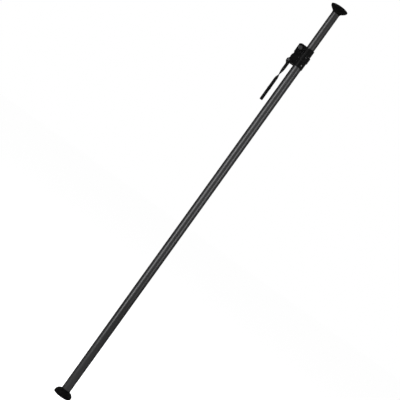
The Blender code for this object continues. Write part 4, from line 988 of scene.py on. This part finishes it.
@dataclass
class ClampCollar(Assembly):
    """The collar casting at the top of the lower tube, with its pins, screws and cover.

    Attributes:
        sleeve_radius: Outer radius of its sleeve.
        tube_radius: Radius of the lower tube.
        cheek_outer: Distance of a cheek's outer face from y = 0.
        ring_radius: Outer radius of its ring.
        lock_angle: Direction of the ring's screw, in degrees.
        lock_height: Height of the ring's screw.
    """

    sleeve_radius: float = 0.0255
    tube_radius: float = 0.0225
    cheek_outer: float = 0.0167
    ring_radius: float = 0.0283
    lock_angle: float = -76.0
    lock_height: float = 1.947

    def build(self) -> None:
        """Make the collar's pieces."""
        self.soften(0.0006, COAT, "collar_body")
        self.soften(0.0003, COAT, "channel_cover")
        self.soften(0.0002, NYLON, "guide_bush")
        self.soften(0.0002, BLACKED, "pin_clip")
        self.screws()
        self.pivot()
        self.sleeve()
        self.wound("plunger_spring", BLACKED, "plunger_pull", (0, 1, 0), (-0.0435, -0.0183, 1.895), 0.455)

    def screws(self) -> None:
        """Make the collar's countersunk screws, the stop screws and the cover's screws."""
        sunk = Fastener(0.0036, 0.0018, 0.0020, 0.0030, Drive.HEXAGON, 0.0013, sunk=True)
        nodes = numbered("collar_screw", 3)
        places = sunk.along(nodes, self.sleeve_radius - 0.0020)
        self.row("collar_screws", sunk.mesh(), places, BLACKED, *nodes)
        lock = Fastener(0.0030, 0.0014, 0.0020, 0.0016, Drive.HEXAGON, 0.0012)
        turn = math.radians(self.lock_angle)
        out = Vector((math.cos(turn), math.sin(turn), 0.0))
        point = out * (self.ring_radius - 0.0011) + Vector((0, 0, self.lock_height))
        self.row("ring_lock_screw", lock.mesh(), [outward(tuple(out), tuple(point))], BLACKED)
        stop = Fastener(0.0032, 0.0013, 0.0020, 0.0020, Drive.HEXAGON, 0.0012)
        nodes = numbered("stop_screw", 3)
        self.row("stop_screws", stop.mesh(), stop.along(nodes, self.tube_radius + SEAT), BLACKED, *nodes)
        small = Fastener(0.0022, 0.0010, 0.0010, 0.0055, Drive.SIX_LOBE, 0.0008)
        nodes = numbered("cover_screw", 2)
        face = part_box("channel_cover")[0].x - SEAT
        middles = [centre_of(node) for node in nodes]
        places = [outward((-1, 0, 0), (face, middle.y, middle.z)) for middle in middles]
        self.row("cover_screws", small.mesh(), places, BLACKED, *nodes)

    def pivot(self) -> None:
        """Make the lever's pin, with a turned recess in its head."""
        radius, face = 0.004, self.cheek_outer + CHEEK_GAP
        head, crown, tip, edge = radius + 0.0016, face + 0.0018, -face - 0.0028, 0.0004
        profile = [(0.0006, face + 0.0012), (0.0022, crown), (radius + 0.0009, crown),
                   (radius + 0.0014, face + 0.0015), (head, face + 0.0010), (head, face), (radius, face),
                   (radius, tip + edge), (radius - edge, tip)]
        place = crosswise("lever_pin")
        self.put("lever_pin_turned", lathe(profile, 48, place), DARK_ZINC, "lever_pin")

    def sleeve(self) -> None:
        """Make the sleeve that guides the plunger."""
        face = self.cheek_outer + CHEEK_GAP
        lip, bore, outer, waist = face + 0.0025, 0.0018, 0.0048, 0.0042
        room, land, land_foot, land_top = 0.0037, 0.0028, 0.0120, 0.0130
        roof = lip - 0.0008
        profile = [(outer - 0.0004, lip), (outer, lip - 0.0004), (outer, face), (waist, face),
                   (waist, land_foot), (land, land_foot), (land, land_top), (room, land_top), (room, roof),
                   (bore, roof), (bore, lip)]
        place = crosswise("plunger_sleeve")
        self.put("plunger_sleeve_turned", lathe(profile, 48, place, closed=True), DARK_ZINC,
                 "plunger_sleeve")


@dataclass
class SwingLever(Assembly):
    """The forged lever with its crank and its moulded grip.

    Attributes:
        width: Width of the grip along y.
        depth: Depth of the grip along x.
        rib_count: Ribs on each face of the grip.
        points: Points round the grip.
        power: How square its section is. 2 is an ellipse.
    """

    width: float = 0.020
    depth: float = 0.0156
    rib_count: int = 14
    points: int = 40
    power: float = 3.6

    def section(self, height: float, middle: float, depth: float, width: float) -> list[Point]:
        """Return one cross-section of the grip, a rounded oblong.

        Args:
            height: Its height.
            middle: x of its middle.
            depth: Size along x.
            width: Size along y.

        Returns:
            Points round the section.
        """
        power = 2 / self.power
        ring = []
        for i in range(self.points):
            angle = 2 * math.pi * i / self.points
            x = math.copysign(abs(math.cos(angle)) ** power, math.cos(angle)) * depth / 2
            y = math.copysign(abs(math.sin(angle)) ** power, math.sin(angle)) * width / 2
            ring.append((middle + x, y, height))
        return ring

    def grip(self) -> bpy.types.Mesh:
        """Make the grip: a tapered neck, a straight body and a rounded end.

        Returns:
            The grip, in its place.
        """
        low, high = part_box("lever_grip")
        body_x = low.x + self.depth / 2
        neck_x = body_x + 0.0014
        top, bottom = high.z, low.z
        rows = [(top, neck_x, 0.38, 0.68), (top - 0.0008, neck_x, 0.44, 0.73),
                (top - 0.006, neck_x - 0.0006, 0.62, 0.84), (top - 0.010, neck_x - 0.0009, 0.78, 0.91),
                (top - 0.014, body_x + 0.0004, 0.90, 0.96), (top - 0.018, body_x + 0.0001, 0.97, 0.99),
                (top - 0.021, body_x, 1.0, 1.0), (bottom + 0.005, body_x, 1.0, 1.0),
                (bottom + 0.0028, body_x, 0.975, 0.98),
                (bottom + 0.0012, body_x, 0.92, 0.94), (bottom + 0.0004, body_x, 0.85, 0.89),
                (bottom, body_x, 0.78, 0.84)]
        rings = [self.section(z, x, deep * self.depth, wide * self.width) for z, x, deep, wide in rows]
        return cover(rings)

    def rib(self) -> bpy.types.Mesh:
        """Make one low rib of the grip.

        Returns:
            The rib, along +Y, raised along +Z.
        """
        half, rings = 0.40 * self.width, []
        half_width, rise = 0.0010, 0.0005
        arc = [math.pi * k / 6 for k in range(7)] + [-math.pi / 2]
        for part, share in ((-1.0, 0.2), (-0.9, 0.8), (-0.75, 1.0), (-0.5, 1.0), (0.0, 1.0), (0.5, 1.0),
                            (0.75, 1.0), (0.9, 0.8), (1.0, 0.2)):
            y = part * half
            drop = self.depth / 2 * (1 - (1 - abs(2 * y / self.width) ** self.power) ** (1 / self.power))
            rings.append([(half_width * share * math.cos(a), y, rise * share * math.sin(a) - SEAT - drop)
                          for a in arc])
        return cover(rings)

    def build(self) -> None:
        """Make the lever's pieces."""
        self.soften(0.0006, COAT, "lever_arm")
        self.put("lever_grip_moulded", self.grip(), PLASTIC, "lever_grip")
        low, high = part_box("lever_grip")
        first, last = low.z + 0.018, high.z - 0.034
        places = []
        for i in range(self.rib_count):
            height = first + (last - first) * i / (self.rib_count - 1)
            for side, x in ((-1, low.x), (1, low.x + self.depth)):
                turn = Matrix(((0, 0, side), (0, 1, 0), (-side, 0, 0))).to_4x4()
                places.append(Matrix.Translation((x, 0, height)) @ turn)
        self.row("lever_grip_ribs", self.rib(), places, PLASTIC)
        rivet = Fastener(0.0034, 0.0008, 0.0020, 0.0050, Drive.DIMPLE, 0.0010)
        middle = centre_of("grip_rivet")
        middle.x = low.x + self.depth / 2
        reach = self.depth / 2 + 0.0002
        seats = [outward((side, 0, 0), (middle.x + side * reach, 0, middle.z)) for side in (-1, 1)]
        self.row("grip_rivets", rivet.mesh(), seats, BLACKED, "grip_rivet")
        self.crank()

    def crank(self) -> None:
        """Make the crank pin, its roller and the lever's bushes."""
        place = crosswise("crank_pin")
        half, radius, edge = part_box("crank_pin")[1].y, 0.003, 0.0004
        pin = [(radius - edge, half), (radius, half - edge), (radius, -half + edge), (radius - edge, -half)]
        self.put("crank_pin_turned", lathe(pin, 40, place), ZINC, "crank_pin")
        half, outer, bore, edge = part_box("crank_roller")[1].y, 0.0046, 0.0032, 0.0003
        roller = [(outer - edge, half), (outer, half - edge), (outer, -half + edge), (outer - edge, -half),
                  (bore, -half), (bore, half)]
        self.put("crank_roller_turned", lathe(roller, 40, place, closed=True), ZINC, "crank_roller")
        self.soften(0.00015, NYLON, *numbered("lever_bush", 2))


@dataclass
class ClickPlunger(Assembly):
    """The spring plunger beside the lever's pin.

    Attributes:
        ridge_count: Ridges round its knob.
    """

    ridge_count: int = 20

    def build(self) -> None:
        """Make the plunger's pin and its ridged knob."""
        low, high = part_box("plunger_pin")
        place = crosswise("plunger_pin")
        nose, tail, stem, body, flange = -high.y, -low.y, 0.0015, 0.0025, 0.0033
        shoulder = nose + 0.0019
        profile = [(stem, tail), (stem, shoulder + 0.001), (flange, shoulder + 0.001), (flange, shoulder),
                   (body, shoulder), (body, nose + 0.0008), (body - 0.0004, nose + 0.0003),
                   (body - 0.0012, nose)]
        self.put("plunger_pin_turned", lathe(profile, 32, place), ZINC, "plunger_pin")
        low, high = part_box("plunger_knob")
        foot, top, edge, neck, bore = -high.y, -low.y, 0.0057, 0.0042, 0.0018
        profile = [(0.0030, top - 0.0004), (edge - 0.0012, top), (edge - 0.0004, top - 0.0004),
                   (edge, top - 0.0012), (edge, foot + 0.0036), (neck, foot + 0.0010), (neck, foot),
                   (bore, foot), (bore, top - 0.003)]
        self.put("plunger_knob_moulded", lathe(profile, 48, place), PLASTIC, "plunger_knob")
        ridge = ridge_mesh(top - 0.0012, foot + 0.0036, edge)
        self.row("plunger_knob_ridges", ridge, around(place, self.ridge_count), PLASTIC)


def ridge_mesh(top: float, foot: float, radius: float) -> bpy.types.Mesh:
    """Return one ridge of a knob's edge, at +X from the knob's axis.

    Args:
        top: Height of its upper end.
        foot: Height of its lower end.
        radius: Radius of the knob.

    Returns:
        The ridge.
    """
    half = RIDGE_HALF
    back, front = radius - 0.0003, radius + 0.6 * half
    rings = []
    for height, share in ((top, 0.3), (top - 0.0004, 1.0), (foot + 0.0004, 1.0), (foot, 0.3)):
        out = back + (front - back) * share
        rings.append([(back, -half, height), (out, -0.5 * half, height), (out, 0.5 * half, height),
                      (back, half, height)])
    return cover(rings)


@dataclass
class LiftCarrier(Assembly):
    """The carrier casting that the lever lifts, with its cap."""

    def build(self) -> None:
        """Make the carrier's pieces."""
        self.soften(0.0006, COAT, "carrier_body")
        self.soften(0.0003, COAT, "carrier_cap")
        self.soften(0.0002, NYLON, "carrier_bush")
        self.soften(0.0002, ZINC, *numbered("wedge_rail", 2))
        self.keep(BLACKED, "set_screw")
        climb = (-0.173648, 0, 0.984808)
        self.wound("jaw_spring", BLACKED, "jaw_slide", climb, (-0.0276, 0, 1.99098), 0.645)
        screw = Fastener(0.0023, 0.0013, 0.0013, 0.0070, Drive.SIX_LOBE, 0.0010)
        nodes = numbered("cap_screw", 4)
        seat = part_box("carrier_cap")[1].z + SEAT
        middles = [centre_of(node) for node in nodes]
        places = [Matrix.Translation((middle.x, middle.y, seat)) for middle in middles]
        self.row("cap_screws", screw.mesh(), places, BLACKED, *nodes)


@dataclass
class GripJaw(Assembly):
    """The wedge jaw and its lining."""

    def build(self) -> None:
        """Make the jaw's pieces."""
        self.soften(0.0003, ZINC, "grip_jaw")
        self.soften(0.0001, LINING, "jaw_pad")


@dataclass
class ReleaseKnob(Assembly):
    """The round knob that lets the upper tube go, on its spindle.

    Attributes:
        radius: Radius of the knob.
        ridge_count: Ridges round its edge.
    """

    radius: float = 0.0102
    ridge_count: int = 36

    def build(self) -> None:
        """Make the knob, its ridges, its spindle and its screw."""
        low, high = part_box("release_knob")
        place = crosswise("release_knob")
        foot, top, edge, bore, hollow = -high.y, -low.y, self.radius, 0.0012, 0.0057
        profile = [(bore, top - 0.0022), (0.0034, top - 0.0022), (0.0037, top - 0.0016),
                   (0.0040, top - 0.0004), (0.0046, top), (edge - 0.0024, top),
                   (edge - 0.0009, top - 0.0004), (edge - 0.0002, top - 0.0011), (edge, top - 0.0020),
                   (edge, foot + 0.0012), (edge - 0.0010, foot), (hollow, foot), (hollow, foot + 0.0035),
                   (bore, foot + 0.0035)]
        # The knob and its ridges take the lighter plastic, whose colour holds a painted highlight.
        self.put("release_knob_moulded", lathe(profile, 72, place, closed=True), KNOB_PLASTIC_PAINTED_HIGHLIGHT,
                 "release_knob")
        ridge = ridge_mesh(top - 0.0018, foot + 0.0012, edge)
        self.row("release_knob_ridges", ridge, around(place, self.ridge_count), KNOB_PLASTIC_PAINTED_HIGHLIGHT)
        self.soften(0.0002, ZINC, "release_spindle")
        screw = Fastener(0.0029, 0.0012, 0.0010, 0.0050, Drive.SIX_LOBE, 0.0011)
        seat = place @ Matrix.Translation((0, 0, top - 0.0020))
        self.row("knob_screw_head", screw.mesh(), [seat], BLACKED, "knob_screw")


@dataclass
class TubeGlide(Assembly):
    """The nylon glide at the bottom of the upper tube."""

    def build(self) -> None:
        """Make the glide and its flush rivets."""
        self.soften(0.0003, NYLON, "tube_glide")
        self.keep(BLACKED, *numbered("glide_rivet", 2))


@dataclass(frozen=True)
class Lamp:
    """A soft lamp.

    Attributes:
        name: Its name.
        place: Where it stands.
        aim: The point that it faces.
        width: Size across.
        height: Size along.
        power: Power in watts.
    """

    name: str
    place: Point
    aim: Point
    width: float
    height: float
    power: float

    def build(self) -> None:
        """Put the lamp in the scene."""
        data = bpy.data.lights.new(self.name, "AREA")
        data.shape = "RECTANGLE"
        data.size = self.width
        data.size_y = self.height
        data.energy = self.power
        lamp = in_scene(self.name, data)
        lamp.location = self.place
        away = Vector(self.place) - Vector(self.aim)
        lamp.rotation_euler = away.to_track_quat("Z", "Y").to_euler()


@dataclass
class Studio:
    """The white studio and the camera.

    Attributes:
        distance: Distance of the camera from the pole.
        lens: Focal length in millimetres.
        aim_x: x of the picture's middle.
        aim_z: Height of the picture's middle.
        lean: How far the pole leans in the picture, in degrees.
        fill: Brightness of the world as a lamp.
        lamps: The soft lamps.
    """

    distance: float = 4.3
    lens: float = 82.5
    aim_x: float = -0.0080
    aim_z: float = 1.1205
    lean: float = 35.68
    fill: float = 0.55
    lamps: tuple[Lamp, ...] = (
        Lamp("strip_left", (-1.12, -1.17, 1.4), (0.0, 0.0, 1.4), 0.5, 2.6, 54.0),
        Lamp("strip_right", (1.12, -1.03, 1.4), (0.0, 0.0, 1.4), 0.26, 1.6, 20.0),
        Lamp("overhead", (0.4, -0.6, 3.6), (0.0, 0.0, 1.2), 1.6, 1.6, 25.0),
    )

    def build(self) -> None:
        """Make the world, the floor, the lamps and the camera."""
        self.world()
        self.floor()
        for lamp in self.lamps:
            lamp.build()
        self.camera()
        bpy.context.scene.view_settings.view_transform = "Standard"

    def world(self) -> None:
        """Make a world that is white to look at and lights the pole softly."""
        world = bpy.data.worlds.new("studio_world")
        world.use_nodes = True
        bpy.context.scene.world = world
        tree = Tree(world.node_tree)
        path = tree.node("ShaderNodeLightPath").outputs
        direct = path["Is Camera Ray"]
        for ray in ("Is Glossy Ray", "Is Transmission Ray"):
            direct = tree.node("ShaderNodeMath", {0: direct, 1: path[ray]}, operation="MAXIMUM").outputs[0]
        lit, seen = (tree.node("ShaderNodeBackground", {"Color": WHITE, "Strength": strength}).outputs[0]
                     for strength in (self.fill, 1.0))
        mix = tree.node("ShaderNodeMixShader", {0: direct, 1: lit, 2: seen}).outputs[0]
        tree.node("ShaderNodeOutputWorld", {"Surface": mix})

    def floor(self) -> None:
        """Make a pale floor that keeps the pole's shadow."""
        sheet = Sheet("pale_floor")
        seen = sheet.node("ShaderNodeLightPath").outputs["Is Camera Ray"]
        sheet.shade(Base_Color=(0.8, 0.8, 0.8), Roughness=0.9, Specular_IOR_Level=0.0,
                    Emission_Color=WHITE, Emission_Strength=sheet.product(seen, 0.55))
        sheet.material.cycles.emission_sampling = "NONE"
        work = bmesh.new()
        bmesh.ops.create_grid(work, x_segments=1, y_segments=1, size=30.0)
        floor = in_scene("studio_floor", to_mesh(work))
        floor.data.materials.append(sheet.material)
        floor.location = (0, 0, -0.0005)

    def camera(self) -> None:
        """Set the camera at the photograph's angle, rolled so that the pole leans."""
        data = bpy.data.cameras.new("camera")
        data.lens = self.lens
        data.sensor_width = 36.0
        data.clip_end = 100.0
        camera = in_scene("camera", data)
        place = Matrix.Translation((self.aim_x, -self.distance, self.aim_z))
        turn = Matrix.Rotation(math.pi / 2, 4, "X") @ Matrix.Rotation(math.radians(self.lean), 4, "Z")
        camera.matrix_world = place @ turn
        bpy.context.scene.camera = camera


def main() -> None:
    """Build the pole and the studio."""
    logging.basicConfig(level=logging.INFO, format="%(name)s %(message)s")
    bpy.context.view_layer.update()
    assemblies: list[Assembly] = [
        EndCup(Body.LOWER_COLUMN, "foot", 0.0, 1, 0.031, 0.009, 0.0238, 1.5, 0.0225),
        Tube(Body.LOWER_COLUMN, "lower_tube", 0.0225),
        ClampCollar(Body.LOWER_COLUMN),
        SwingLever(Body.LEVER),
        ClickPlunger(Body.PLUNGER),
        LiftCarrier(Body.LIFT_CARRIER),
        GripJaw(Body.JAW),
        ReleaseKnob(Body.RELEASE),
        Tube(Body.UPPER_COLUMN, "upper_tube", 0.020),
        TubeGlide(Body.UPPER_COLUMN),
        EndCup(Body.UPPER_COLUMN, "ceiling", 2.233, -1, 0.030, 0.0015, 0.0213, 3.6, 0.020),
    ]
    for assembly in assemblies:
        assembly.build()
        LOG.info("%s: %d pieces", type(assembly).__name__, len(assembly.made))
    Studio().build()


if __name__ == "__main__":
    main()
